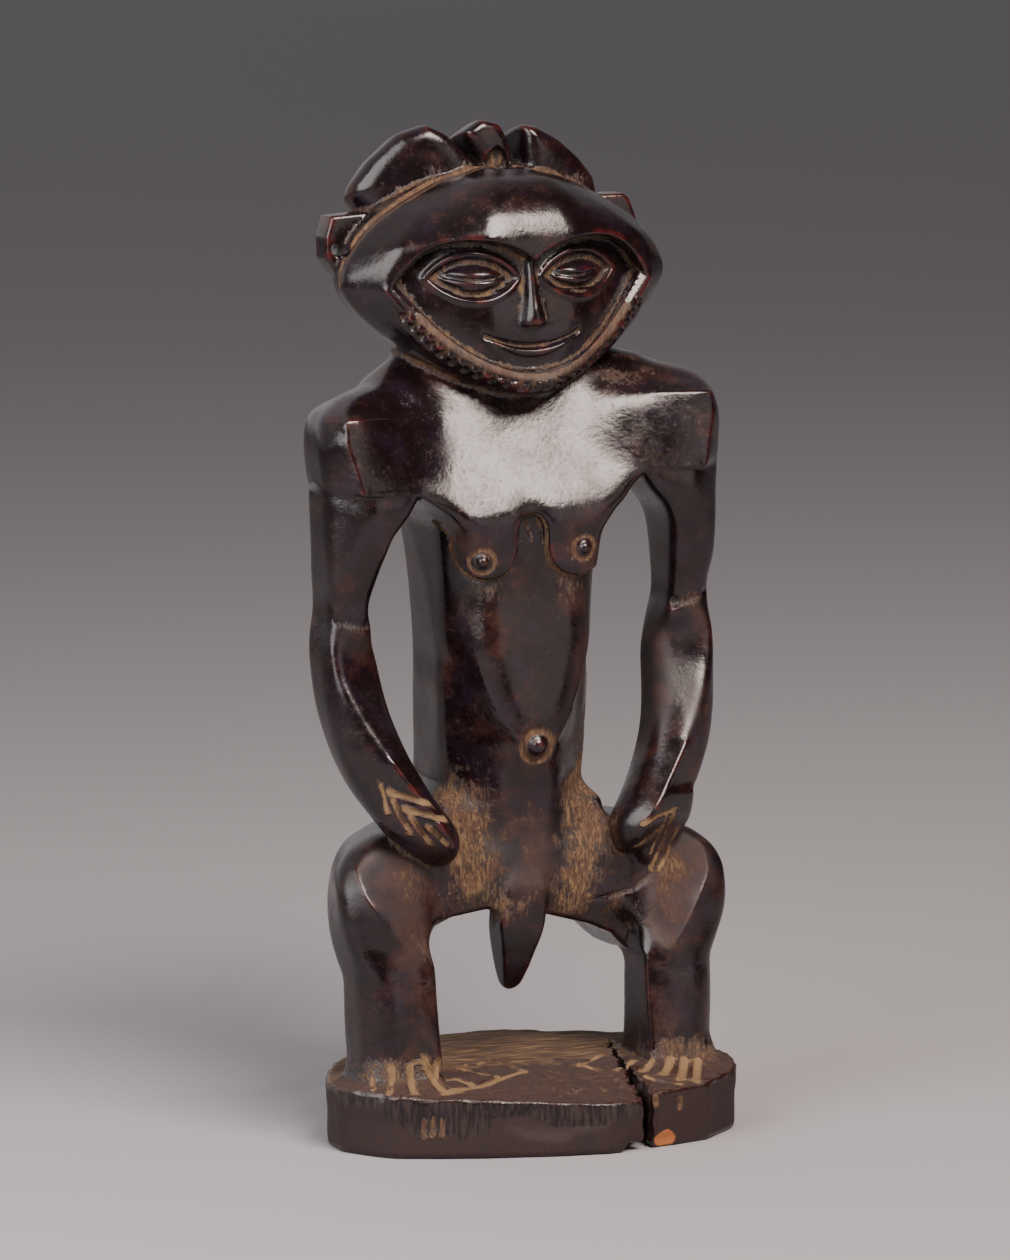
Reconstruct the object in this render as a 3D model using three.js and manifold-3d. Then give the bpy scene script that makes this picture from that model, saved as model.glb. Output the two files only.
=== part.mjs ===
// A carved wooden ancestor figure, standing with bent legs on a base cut from the same block.
// Millimetres, +Z up. The figure looks along -Y and its own left hand is at +X.
// The origin is on the underside of the base, below the middle of the figure.
import * as THREE from 'three';
import { mergeVertices } from 'three/addons/utils/BufferGeometryUtils.js';
import Module from 'manifold-3d';

const wasm = await Module();
wasm.setup();

// Driving heights, from the ground up
const BASE_TOP = 19.5;
const ANKLE = 27;
const KNEE = 58;
const HIP_STEP = 113;
const ELBOW = 166;
const SHOULDER = 238.5;
const CHIN = 242.5;
const TEMPLE = 279;
const BAND_TOP = 313;

// Carving habits
const SHOULDER_LIFT = 2.7;      // the left shoulder sits this much above the mean, the right below
const HEAD_TILT = 1.6;          // degrees, the left temple higher
const FACE_DEPTH = 5;           // how far the face lies behind the brow and the beard rim

// Facet counts round a section
const FINE = 22;
const MEDIUM = 17;
const COARSE = 13;

// A smooth path through knots [t, a, b, ...]: returns the values at t, flat beyond both ends.
function path(...knots) {
  const last = knots.length - 1;
  const width = knots[0].length - 1;
  function slope(i, k) {
    if (i === 0 || i === last) return 0;
    const before = (knots[i][k] - knots[i - 1][k]) / (knots[i][0] - knots[i - 1][0]);
    const after = (knots[i + 1][k] - knots[i][k]) / (knots[i + 1][0] - knots[i][0]);
    if (before * after <= 0) return 0;
    return 2 * before * after / (before + after);
  }
  return (t) => {
    const at = THREE.MathUtils.clamp(t, knots[0][0], knots[last][0]);
    let i = 0;
    while (i < last - 1 && at > knots[i + 1][0]) i++;
    const span = knots[i + 1][0] - knots[i][0];
    const u = (at - knots[i][0]) / span;
    const values = [];
    for (let k = 1; k <= width; k++) {
      const p = knots[i][k];
      const q = knots[i + 1][k];
      const m = slope(i, k) * span;
      const n = slope(i + 1, k) * span;
      values.push(p + u * m + u * u * (3 * (q - p) - 2 * m - n) + u ** 3 * (2 * (p - q) + m + n));
    }
    return values;
  };
}

// A section is the convex outline round a few circles [x, y, r], the worn edges of a block.
function outline(circles, sides) {
  const ring = [];
  for (let i = 0; i < sides; i++) {
    const angle = 2 * Math.PI * (i + 0.5) / sides;
    const nx = Math.cos(angle);
    const ny = Math.sin(angle);
    let best = circles[0];
    let reach = -Infinity;
    for (const circle of circles) {
      const along = circle[0] * nx + circle[1] * ny + circle[2];
      if (along > reach) {
        reach = along;
        best = circle;
      }
    }
    ring.push([best[0] + best[2] * nx, best[1] + best[2] * ny]);
  }
  return ring;
}

// A block is lofted over levels. circlesAt(level) gives its worn edges, place(u, v, level) its space.
function loft(levels, circlesAt, sides, place = (u, v, level) => [u, v, level]) {
  const positions = [];
  for (const level of levels) {
    for (const [u, v] of outline(circlesAt(level), sides)) positions.push(...place(u, v, level));
  }
  const index = [];
  for (let row = 0; row < levels.length - 1; row++) {
    for (let i = 0; i < sides; i++) {
      const a = row * sides + i;
      const b = row * sides + (i + 1) % sides;
      index.push(a, b, b + sides, a, b + sides, a + sides);
    }
  }
  for (const [row, turned] of [[0, true], [levels.length - 1, false]]) {
    const centre = positions.length / 3;
    const middle = [0, 0, 0];
    for (let i = 0; i < sides; i++) {
      for (let k = 0; k < 3; k++) middle[k] += positions[3 * (row * sides + i) + k] / sides;
    }
    positions.push(...middle);
    for (let i = 0; i < sides; i++) {
      const a = row * sides + i;
      const b = row * sides + (i + 1) % sides;
      index.push(...(turned ? [b, a, centre] : [a, b, centre]));
    }
  }
  const geometry = new THREE.BufferGeometry();
  geometry.setAttribute('position', new THREE.Float32BufferAttribute(positions, 3));
  geometry.setIndex(index);
  return solid(geometry);
}

// Closed geometry to a solid that can be joined and cut.
function solid(geometry, matrix = new THREE.Matrix4()) {
  const moved = geometry.clone().applyMatrix4(matrix);
  moved.deleteAttribute('normal');
  moved.deleteAttribute('uv');
  const merged = mergeVertices(moved, 1e-4);
  const triangles = Uint32Array.from(merged.index.array);
  if (matrix.determinant() < 0) {
    for (let i = 0; i < triangles.length; i += 3) {
      [triangles[i], triangles[i + 1]] = [triangles[i + 1], triangles[i]];
    }
  }
  const positions = Float32Array.from(merged.attributes.position.array);
  return new wasm.Manifold(new wasm.Mesh({ numProp: 3, vertProperties: positions, triVerts: triangles }));
}

function toGeometry(body) {
  const mesh = body.getMesh();
  const geometry = new THREE.BufferGeometry();
  geometry.setAttribute('position', new THREE.BufferAttribute(Float32Array.from(mesh.vertProperties), 3));
  geometry.setIndex(new THREE.BufferAttribute(Uint32Array.from(mesh.triVerts), 1));
  return geometry;
}

const MIRROR = new THREE.Matrix4().makeScale(-1, 1, 1);
const joined = (bodies) => bodies.reduce((sum, body) => sum.add(body));
const mirrored = (body) => solid(toGeometry(body), MIRROR);
const bothSides = (circles) => circles.flatMap(([x, y, r]) => [[x, y, r], [-x, y, r]]);

// Levels from start to end, about one step apart.
function levels(start, end, step) {
  const count = Math.max(1, Math.round(Math.abs(end - start) / step));
  return Array.from({ length: count + 1 }, (_, i) => start + (end - start) * i / count);
}

function placed(geometry, position, rotation = [0, 0, 0], scale = [1, 1, 1]) {
  const turn = new THREE.Quaternion().setFromEuler(new THREE.Euler(...rotation));
  const matrix = new THREE.Matrix4().compose(new THREE.Vector3(...position), turn, new THREE.Vector3(...scale));
  return solid(geometry, matrix);
}

const ball = (centre, radii, rings = 6) =>
  placed(new THREE.SphereGeometry(1, 2 * rings, rings), centre, [0, 0, 0], radii);

// A front-view outline [x, z] pushed along Y from front to back.
function frontPrism(shape, front, back, divisions = 6) {
  const geometry = new THREE.ExtrudeGeometry(shape, {
    depth: back - front,
    bevelEnabled: false,
    curveSegments: divisions,
  });
  return placed(geometry, [0, back, 0], [Math.PI / 2, 0, 0]);
}

// Four worn edges of a bar, from its middle and half sizes.
function bar([x, y, halfWidth, halfDepth, wear]) {
  const dx = halfWidth - wear;
  const dy = halfDepth - wear;
  return [[x + dx, y - dy, wear], [x + dx, y + dy, wear], [x - dx, y + dy, wear], [x - dx, y - dy, wear]];
}

// The base: an uneven rounded block, deepest a little left of the middle, its top edge not quite level
const BASE_CORNERS = [
  [59, -19, 6], [66, -2, 6], [64, 12, 7], [51, 34, 8], [8, 51, 10], [-28, 43, 12], [-52, 24, 8],
  [-62, 3, 7], [-61, -5, 8], [-52, -17, 8], [-28, -28, 7], [10, -37, 7], [24, -36, 6], [45, -31, 6],
];
const BASE_EDGE = path([-62, 1.5], [-30, 1.4], [8, -1], [23, -0.8], [29, 1], [60, 1]);
const BASE_SLOPE = 0.03;

function makeBase() {
  const share = path([BASE_TOP, 1], [21.4, 0.78], [22.3, 0.4]);
  return loft([0, 1.2, 17.5, BASE_TOP, 21.4, 22.3], (z) => {
    const [grow] = path([0, -1], [1.2, 0], [17.5, 0], [BASE_TOP, -1.2])(z);
    const [part] = share(z);
    return BASE_CORNERS.map(([x, y, r]) => [x * part, 5 + (y - 5) * part, (r + grow) * part]);
  }, 44, (x, y, z) => {
    const rise = BASE_EDGE(x)[0] + BASE_SLOPE * y;
    return [x, y, z + rise * THREE.MathUtils.smoothstep(z, 2, 17)];
  });
}

// The open crack in the base: [x, y] of its course on top, half width, and how deep it reaches
const CRACK = [
  [24.4, -52, 1.7, -1], [24.6, -38, 1.5, -1], [27.2, -20.4, 1, 10], [30.7, -4.5, 0.7, 14], [37, 17.6, 0.5, 16],
];

function makeCrack() {
  const strips = [];
  for (let i = 0; i < CRACK.length - 1; i++) {
    const [x0, y0, w0, floor0] = CRACK[i];
    const [x1, y1, w1, floor1] = CRACK[i + 1];
    const strip = new THREE.Shape([
      new THREE.Vector2(x0 - w0, y0), new THREE.Vector2(x0 + w0, y0),
      new THREE.Vector2(x1 + w1, y1 + 0.4), new THREE.Vector2(x1 - w1, y1 + 0.4),
    ]);
    const floor = Math.min(floor0, floor1);
    const geometry = new THREE.ExtrudeGeometry(strip, { depth: 26 - floor, bevelEnabled: false });
    strips.push(placed(geometry, [0, 0, floor]));
  }
  const brokenCorner = placed(new THREE.BoxGeometry(14, 14, 7), [18.5, -45.5, 0], [0.25, 0, -0.1]);
  strips.push(brokenCorner);
  return joined(strips);
}

// Feet, lower legs and thighs of the side at +X
const LEG = path(
  [ANKLE - 1, 48.8, -3.5, 13.6, 12.4, 6.5],
  [45, 49.6, -3.4, 13.6, 12.6, 6.5],
  [KNEE + 6, 49.8, -3.2, 13.8, 12.8, 6.5],
);
const FOOT = path(
  [BASE_TOP - 2, 48, -3.6, 17.5, 21, 9],
  [BASE_TOP + 1.5, 48, -3.8, 17, 20, 9],
  [24, 49, -3.6, 15.5, 15, 7],
  [ANKLE + 1, 49, -3.5, 13.4, 12.2, 6.5],
);
const THIGH = {
  outerFront: path([52, 55.8, -8, 7], [60, 57.5, -8, 6.5], [68, 61.5, -7, 5.5], [77, 63.2, -5, 5],
    [84, 63, -3, 5], [90, 61, 0.5, 5], [96, 55.5, 4, 5], [101, 47, 7, 5]),
  outerBack: path([52, 55.7, 3, 7], [60, 58.4, 5, 6.5], [68, 59.4, 9, 6.5], [77, 57.9, 16, 6.5],
    [84, 54.4, 21, 7], [90, 51.5, 24, 7], [96, 46, 27, 7], [101, 36, 30, 7]),
  innerBack: path([52, 43, 4, 5.5], [66, 42, 9, 6], [77, 34, 30, 7], [90, 28, 36, 8], [101, 24, 36, 8]),
  innerFront: path([52, 42, -9.5, 5], [60, 40.5, -8, 4], [70, 38, -5, 3], [80, 32, -2, 3], [90, 29, 0, 3],
    [101, 26, 5, 3]),
  arris: path([52, 43, -11.4, 3], [55.5, 43, -12.4, 1.2], [77.5, 57, -10.4, 1], [85, 60.5, -6, 1.5],
    [91, 60, -1, 2], [96, 54, 4, 3], [101, 46, 7, 4]),
};

function makeLeg() {
  const foot = loft(levels(BASE_TOP - 2, ANKLE + 1, 3.2), (z) => bar(FOOT(z)), MEDIUM);
  const shin = loft(levels(ANKLE - 1, KNEE + 6, 12), (z) => bar(LEG(z)), MEDIUM);
  const thigh = loft(levels(52, 101, 5.5), (z) => Object.values(THIGH).map((edge) => edge(z)), MEDIUM);
  return joined([foot, shin, thigh]);
}

// Hips, with the arch between the legs cut from below
const HIP = {
  front: path([56, 24, 9, 5], [80, 25, 7, 5], [97, 26, 7, 4], [107, 26, 9, 4], [HIP_STEP, 22, 15, 3.5]),
  back: path([56, 26, 30, 8], [75, 30, 38, 8], [92, 29, 42, 9], [106, 24, 42, 8], [HIP_STEP, 19, 41, 7]),
};
const ARCH = [[-36.4, 64], [-33, 70], [-27, 72.6], [-15, 74.4], [6, 71.6], [22, 67], [31, 63], [36.4, 57]];

function makeHips() {
  const hips = loft(levels(56, HIP_STEP, 6), (z) => bothSides([HIP.front(z), HIP.back(z)]), MEDIUM);
  const groin = loft(levels(80, HIP_STEP + 6, 6), (z) => {
    const [x, y, r] = path([80, 6, 8, 5], [95, 7, 6, 5], [107, 9, 4.5, 5], [119, 9, 3, 5])(z);
    return bothSides([[x, y, r]]).concat([[0, 20, 10]]);
  }, COARSE);
  return hips.add(groin);
}

function makeArch() {
  const shape = new THREE.Shape([
    new THREE.Vector2(36.4, 22.5), ...ARCH.toReversed().map(([x, z]) => new THREE.Vector2(x, z)),
    new THREE.Vector2(-36.4, 22.5),
  ]);
  return frontPrism(shape, -60, 80);
}

function makePenis() {
  const middle = path([46.5, -4.4, 6.6, 2, 2.2, 1.2], [49, -4.2, 6.2, 3, 3.4, 1.4], [57, -3.6, 5, 5.4, 5.2, 1.8],
    [70, -2.8, 3.4, 7.9, 6.6, 2.2], [80, -2, 3.4, 8, 6.5, 3], [92, -1.2, 5, 4.6, 5, 3]);
  return loft(levels(46.5, 92, 4.2), (z) => bar(middle(z)), COARSE);
}

// The body between hips and shoulders
const TORSO = {
  front: path([104, 4, 9, 8], [118, 3, 4.2, 8], [124, 2.5, 1.5, 8], [131, 2.5, -0.2, 8], [143.5, 7.5, 0.6, 8],
    [160, 12, 2.4, 8], [180, 12.5, 4, 8], [207, 14, 4.4, 8]),
  belly: path([104, 4, 5, 3], [113, 4, 1, 2], [124, 4.2, -3.6, 1.5], [131, 6.8, -6.9, 1], [137, 10.6, -5.6, 1],
    [143.5, 14, -4, 1], [152, 17, -2.4, 1], [162, 19.2, -0.4, 1], [182, 21, 3.2, 1], [200, 24, 8, 2]),
  flank: path([104, 24, 14, 4], [HIP_STEP, 21.8, 13, 3], [136, 22.4, 12, 3], [160, 23, 11, 3], [180, 23.8, 10, 3],
    [200, 26, 9, 3], [215, 31, 8, 4]),
  back: path([104, 19, 42, 7], [HIP_STEP, 17, 43, 6], [149, 16.7, 44, 6], [175, 18, 44, 6], [200, 21.8, 43.5, 6],
    [215, 27, 42, 6]),
};
const NAVEL = [0, -8, 128.4];
const NIPPLE = [17.6, -5.8, 190.5];

const circlesOf = (edges) => (z) => bothSides(Object.values(edges).map((edge) => edge(z)));

// Lower edge of the breast plate, from the right armpit past both breasts to the left armpit
function breastShape() {
  const shape = new THREE.Shape();
  shape.moveTo(-60, 260);
  shape.lineTo(-60, 209);
  shape.lineTo(-37.6, 209);
  shape.quadraticCurveTo(-30, 203, -26, 196);
  shape.bezierCurveTo(-25, 187, -22, 183, -16.5, 183);
  shape.bezierCurveTo(-9, 183, -6, 189, -6, 199);
  shape.bezierCurveTo(-6, 206, 5, 206, 5, 199);
  shape.bezierCurveTo(5, 189, 8, 183, 14.5, 183);
  shape.bezierCurveTo(22, 183, 25, 187, 26, 194);
  shape.quadraticCurveTo(30, 203, 37.6, 211);
  shape.lineTo(60, 211);
  shape.lineTo(60, 260);
  return shape;
}

function makeTorso() {
  const trunk = loft(levels(104, 207, 9.4), circlesOf(TORSO), FINE);
  const nipples = [-1, 1].map((side) => ball([side * NIPPLE[0], NIPPLE[1] - 1.4, NIPPLE[2] + side], [2.3, 2, 2.3], 4));
  const hollow = ball(NAVEL, [7, 3, 7], 6);
  const knob = ball([NAVEL[0], NAVEL[1] + 1, NAVEL[2]], [3.8, 3.6, 3.8], 5);
  return joined([trunk, ...nipples]).subtract(hollow).add(knob);
}

// Chest, raised above the belly down to the edge of the breasts
const CHEST = {
  front: path([178, 16.5, -1.2, 5.7], [195, 18, -2.3, 5.5], [203, 23, -2.8, 5.2], [208, 27, -1.2, 5],
    [218, 29, 3.8, 5], [228, 29, 9.6, 6], [238, 28, 15.6, 7], [248, 24, 22, 7], [254, 24, 26, 5]),
  flank: path([178, 23.8, 10, 4.2], [200, 26, 9, 4.2], [214, 31, 8, 5], [228, 34, 14, 6], [254, 28, 26, 6]),
  back: path([178, 18, 44, 6], [203, 23, 43, 6], [226, 34, 41, 8], [244, 35, 34, 8], [254, 28, 29, 6]),
};

// The two shoulder blocks with their crisp front plates
const SHOULDER_BLOCK = {
  frontCorner: path([214.2, 58, -6.2, 1.4], [SHOULDER, 64, -0.4, 1.4], [243, 60, 8, 2], [251, 44, 20, 3]),
  outer: path([214.2, 65.5, 5, 4], [230, 66.5, 6, 4], [SHOULDER, 65, 9, 4], [244, 60, 15, 5], [251, 44, 24, 4]),
  outerBack: path([214.2, 61, 25, 6], [230, 61.5, 27, 6], [SHOULDER, 60, 27, 6], [245, 52, 27, 6], [251, 42, 28, 5]),
  innerBack: path([214.2, 34, 36, 8], [SHOULDER, 34, 36, 8], [251, 30, 32, 6]),
  innerFront: path([214.2, 33, -2.4, 3], [226, 33, 2.6, 3], [SHOULDER, 33, 8.5, 3], [251, 26, 24, 4]),
};

const shoulderLevels = [214.2, 222, 230, SHOULDER, 241, 244, 247.5, 251];

function makeShoulder(lift, slope) {
  return loft(shoulderLevels.map((z) => z + lift), (z) => {
    const inward = slope * Math.max(0, z - lift - SHOULDER);
    return Object.values(SHOULDER_BLOCK).map((edge) => edge(z - lift)).map(([x, y, r]) => [x - inward, y, r]);
  }, MEDIUM);
}

function makeChest() {
  const block = loft(levels(178, 254, 8.4), circlesOf(CHEST), FINE);
  const behind = placed(new THREE.BoxGeometry(160, 80, 60), [0, 51, 236]);
  return block.intersect(frontPrism(breastShape(), -30, 12, 8).add(behind));
}

// Arm of the side at +X: middle, half sizes and wear, then the arris that crosses the forearm
const ARM = path(
  [90, 33.5, -4, 3.6, 4, 3],
  [96, 36, -5.4, 8, 8, 5.5],
  [103, 40.5, -5.4, 11.8, 11, 7.5],
  [116.4, 49.4, -0.9, 11.6, 12.4, 7.5],
  [129.5, 55, 3.7, 11.2, 12.5, 7],
  [142.6, 57.7, 9, 10.7, 12.5, 7],
  [155.6, 58.8, 13.1, 10.2, 12, 6.5],
  [ELBOW, 59.7, 14.6, 8.4, 11.6, 5],
  [174, 60.1, 14.4, 7, 11, 4],
  [187, 59.8, 11.5, 8.2, 12.6, 4],
  [199, 58.6, 8.6, 10, 14, 4],
  [208, 55.5, 8.6, 13.6, 15, 4],
  [218, 53.4, 8.6, 16.6, 16, 4],
);
const ARRIS = path([92, 31], [105, 37], [113, 42.5], [121, 48], [131, 54.5], [142, 60.8], [155, 65.6],
  [ELBOW, 66.6]);
const ARRIS_WEAR = 0.8;
const OUTER_FALL = 0.45;
const INNER_FALL = 0.34;

// A forearm's front is a roof whose ridge runs across it on the way to the hand
function forearm(z) {
  const [x, y, halfWidth, halfDepth, wear] = ARM(z);
  const [arris] = ARRIS(z);
  const [inner, outer] = [x - halfWidth, x + halfWidth];
  const front = y - halfDepth;
  const back = y + halfDepth - wear;
  const soft = 0.78 * wear;
  const outerY = Math.min(back, front + soft + OUTER_FALL * Math.max(outer - arris, 0));
  const innerY = Math.min(back, front + soft + INNER_FALL * Math.max(arris - inner, 0));
  return [[outer - soft, outerY, soft], [outer - wear, back, wear], [inner + wear, back, wear],
    [inner + soft, innerY, soft], [arris, front + ARRIS_WEAR, ARRIS_WEAR]];
}

function makeArm(lift) {
  const circles = (z) => (z < ELBOW ? forearm(z) : bar(ARM(z)));
  const raised = (z) => z + lift * THREE.MathUtils.smoothstep(z, ELBOW, 200);
  return loft(levels(90, 218, 7.1), circles, MEDIUM, (x, y, z) => [x, y, raised(z)]);
}

// Slanting cuts part the fingers on the outer side of each hand
function makeFingerCuts(side) {
  return joined([0, 1, 2].map((i) => {
    const middle = [side * (49 - 5.4 * i), -15.2 - 0.2 * i, 104 - 2.9 * i];
    return placed(new THREE.BoxGeometry(1.8, 5, 14), middle, [0, side * 0.62, 0]);
  }));
}

// Neck and head
const NECK = path([230, 0, 27, 24, 16, 14], [240, 0, 27, 24, 16, 15], [250, 0, 29, 28, 18, 16],
  [264, 0, 30, 33, 22, 18]);
const HEAD = {
  front: path([CHIN, 3, 0, 6], [250, 10, 2, 8.5], [262, 15, 3, 10], [TEMPLE, 18, 3.4, 10], [290, 18, 4, 10],
    [299, 16, 7.5, 9.5], [306, 12, 12, 8], [311, 8, 17, 6.5], [BAND_TOP + 2, 4, 22, 4]),
  cheek: path([CHIN, 5, 5, 5], [247, 15, 8, 5], [256, 28, 11, 6], [266, 37, 13, 7], [TEMPLE, 42, 14, 7.5],
    [290, 38, 13, 8], [299, 30, 16, 7], [306, 21, 19, 6], [311, 13, 21, 5], [BAND_TOP + 2, 5, 23, 4]),
  temple: path([CHIN, 5, 9, 4], [247, 15, 14, 4], [256, 30, 18, 5], [266, 44, 21, 4], [274, 52, 21, 3],
    [TEMPLE, 54.4, 21, 2.6], [285, 52.5, 21.5, 3], [292, 47.5, 22, 3.5], [299, 39.5, 23, 4], [306, 28, 24, 4],
    [311, 17.5, 25, 4], [BAND_TOP + 2, 6, 26, 4]),
  side: path([CHIN, 6, 20, 4], [256, 26, 34, 8], [270, 40, 38, 8], [TEMPLE, 44, 39, 8], [292, 41, 40, 8],
    [303, 31, 40, 8], [311, 18, 38, 7], [BAND_TOP + 2, 8, 34, 6]),
  back: path([CHIN, 4, 30, 5], [256, 14, 42, 9], [270, 18, 50, 10], [TEMPLE, 19, 52, 10], [292, 18, 52, 10],
    [303, 15, 48, 9], [311, 10, 43, 8], [BAND_TOP + 2, 5, 36, 6]),
};
const headLevels = [...levels(CHIN, 256, 4.5), 265, 273, TEMPLE, 285, 292, 299, 305, 310, BAND_TOP + 2];

const headCircles = (setBack) => (z) =>
  bothSides(Object.values(HEAD).map((edge) => edge(z)).map(([x, y, r]) => [x, y + setBack, r]));

// The face: two brow arches above, a curved jaw below
const FACE_SIDE = 45;
const FACE_CORNER = 277.5;
const BROW_PEAK = 293;
const NOSE_ROOT = 286;
const JAW_LOW = 246.5;

function faceShape() {
  const shape = new THREE.Shape();
  shape.moveTo(FACE_SIDE, FACE_CORNER);
  shape.bezierCurveTo(38, BROW_PEAK - 2, 30, BROW_PEAK, 21, BROW_PEAK);
  shape.bezierCurveTo(12, BROW_PEAK, 5, BROW_PEAK - 3, 0, NOSE_ROOT);
  shape.bezierCurveTo(-5, BROW_PEAK - 3, -12, BROW_PEAK, -21, BROW_PEAK);
  shape.bezierCurveTo(-30, BROW_PEAK, -38, BROW_PEAK - 2, -FACE_SIDE, FACE_CORNER);
  shape.bezierCurveTo(-34, 262, -20, JAW_LOW, 0, JAW_LOW);
  shape.bezierCurveTo(20, JAW_LOW, 34, 262, FACE_SIDE, FACE_CORNER);
  return shape;
}

function makeFace() {
  const nose = loft(levels(265, 292, 5.4), (z) => {
    const [width, front] = path([265, 4.6, -7.4], [268, 4, -8.4], [276, 2.2, -6.8], [292, 1.7, -5.6])(z);
    return [[0, front + 1.4, 1.4], [width, 4, 1.4], [-width, 4, 1.4]];
  }, 12);
  const eyes = [-1, 1].map((side) => ball([side * 18.4, 0.6, 280.5], [10, 4.2, 4.4], 5));
  const slits = [-1, 1].map((side) =>
    placed(new THREE.BoxGeometry(15, 5, 1.1), [side * 18.4, -4.4, 280.2], [0, side * 0.05, 0]));
  const lips = new THREE.Shape();
  lips.moveTo(-17, 262);
  lips.bezierCurveTo(-9, 257, 9, 257, 17, 262);
  lips.bezierCurveTo(9, 252.4, -9, 252.4, -17, 262);
  const mouth = frontPrism(lips, -6.2, 6, 8);
  return joined([nose, ...eyes, mouth]).subtract(joined(slits));
}

// Notches across the beard rim, along the front edge of the jaw
const NOTCH_TURN = 0.89;

function makeBeardNotches() {
  const notches = [];
  for (const z of levels(245.5, 270.5, 4.2)) {
    const [x, y, r] = HEAD.cheek(z);
    for (const side of [-1, 1]) {
      const corner = [side * (x + 0.75 * r), y - 0.75 * r, z];
      notches.push(placed(new THREE.BoxGeometry(5.5, 5, 1.4), corner, [0, side * NOTCH_TURN, 0]));
    }
  }
  return joined(notches);
}

// Crest: two big rolls and a narrow middle one, running over the crown from front to back
function makeRoll(circlesOf, start, end, drop) {
  const runs = levels(start, end, 7);
  return loft(runs.toReversed(), (y) => {
    const t = (y - start) / (end - start);
    const swell = Math.sqrt(Math.max(0.06, 1 - (2 * t - 1) ** 4));
    return circlesOf.map(([x, z, r]) => [x, z - drop * t * t - 3 * (1 - swell), r * swell]);
  }, COARSE, (u, v, y) => [u, y, v]);
}

function makeCrest() {
  const left = makeRoll([[37.5, 307, 6.4], [29, 317, 7.4], [17, 322, 8], [15.5, 310, 6]], 27, 61, 12);
  const knob = makeRoll([[0.5, 325, 6.6], [0.5, 312, 7]], 29, 60, 10);
  const pin = placed(new THREE.CylinderGeometry(1.3, 1.3, 8, 8), [2, 44, 328], [Math.PI / 2, 0, 0]);
  return joined([left, mirrored(left), knob]).subtract(pin);
}

function makeEar() {
  const sides = path([283, 48, 37.5, 7, 5, 2.2], [290, 49.6, 38, 8, 5.6, 2.2], [300, 50, 38.4, 8.4, 5.8, 2.2],
    [304.5, 49.6, 38.6, 7, 4.6, 2]);
  const block = loft([283, 286, 290, 300, 303, 304.5], (z) => bar(sides(z)), COARSE);
  const hole = placed(new THREE.CylinderGeometry(2.2, 2.2, 30, 12), [51.6, 38, 291]);
  return block.subtract(hole);
}

function makeHead() {
  const skull = loft(headLevels, headCircles(0), FINE);
  const facePlane = loft(headLevels, headCircles(FACE_DEPTH), FINE);
  const hollow = frontPrism(faceShape(), -30, 24).subtract(facePlane);
  const neck = loft(levels(230, 264, 9), (z) => bar(NECK(z)), MEDIUM);
  const ears = makeEar();
  const head = joined([skull.subtract(makeBeardNotches()), neck]).subtract(hollow);
  const whole = joined([head, makeFace(), makeCrest(), ears, mirrored(ears)]);
  const pivot = new THREE.Matrix4().makeTranslation(0, 0, TEMPLE);
  const tilt = new THREE.Matrix4().makeRotationY(-THREE.MathUtils.degToRad(HEAD_TILT));
  const back = new THREE.Matrix4().makeTranslation(0, 0, -TEMPLE);
  return solid(toGeometry(whole), pivot.multiply(tilt).multiply(back));
}

// The whole carving as one piece of wood
function makeFigure() {
  const leg = makeLeg();
  const lower = joined([makeHips(), leg, mirrored(leg)]).subtract(makeArch());
  const leftArm = makeArm(SHOULDER_LIFT).subtract(makeFingerCuts(1));
  const rightArm = mirrored(makeArm(-SHOULDER_LIFT)).subtract(makeFingerCuts(-1));
  const shoulders = [makeShoulder(SHOULDER_LIFT, 0), mirrored(makeShoulder(-SHOULDER_LIFT, 0.8))];
  const upper = joined([makeTorso(), makeChest(), ...shoulders, leftArm, rightArm, makeHead()]);
  const base = makeBase();
  return joined([base, lower, makePenis(), upper]).subtract(makeCrack());
}

const patinatedWood = new THREE.MeshStandardMaterial({ color: 0x2a1a16, roughness: 0.32, metalness: 0 });
const figure = new THREE.Mesh(toGeometry(makeFigure()), patinatedWood);
figure.name = 'ancestor_figure';

const object = new THREE.Group();
object.add(figure);

export default object;
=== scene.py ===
"""Ancestor figure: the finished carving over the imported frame.

The carving is worked out as a distance field in millimetres, from the same worn edges as the solid, then
meshed once. The frame is in metres, +Z up, the figure looks along -Y.
"""
import math
from functools import partialmethod, reduce
import bpy
import numpy as np
import openvdb
from mathutils import Matrix, Vector


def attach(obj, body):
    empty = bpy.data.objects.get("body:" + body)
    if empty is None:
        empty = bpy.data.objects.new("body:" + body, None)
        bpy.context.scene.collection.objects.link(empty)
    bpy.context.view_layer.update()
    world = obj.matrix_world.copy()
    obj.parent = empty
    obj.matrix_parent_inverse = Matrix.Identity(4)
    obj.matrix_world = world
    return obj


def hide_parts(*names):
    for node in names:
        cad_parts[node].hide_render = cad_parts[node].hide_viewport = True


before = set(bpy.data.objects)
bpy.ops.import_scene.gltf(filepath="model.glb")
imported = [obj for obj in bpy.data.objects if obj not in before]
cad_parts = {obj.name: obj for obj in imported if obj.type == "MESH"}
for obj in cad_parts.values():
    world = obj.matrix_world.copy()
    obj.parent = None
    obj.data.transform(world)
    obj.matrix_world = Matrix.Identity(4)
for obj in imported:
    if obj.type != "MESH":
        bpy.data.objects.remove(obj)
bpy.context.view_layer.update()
scene = bpy.context.scene

MM = 0.001
VOXEL = 0.62          # mm between samples of the field
TRIANGLES = 192000  # after thinning out the flat areas
FAR = 6.0                               # mm, the field is clipped to this distance

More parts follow.
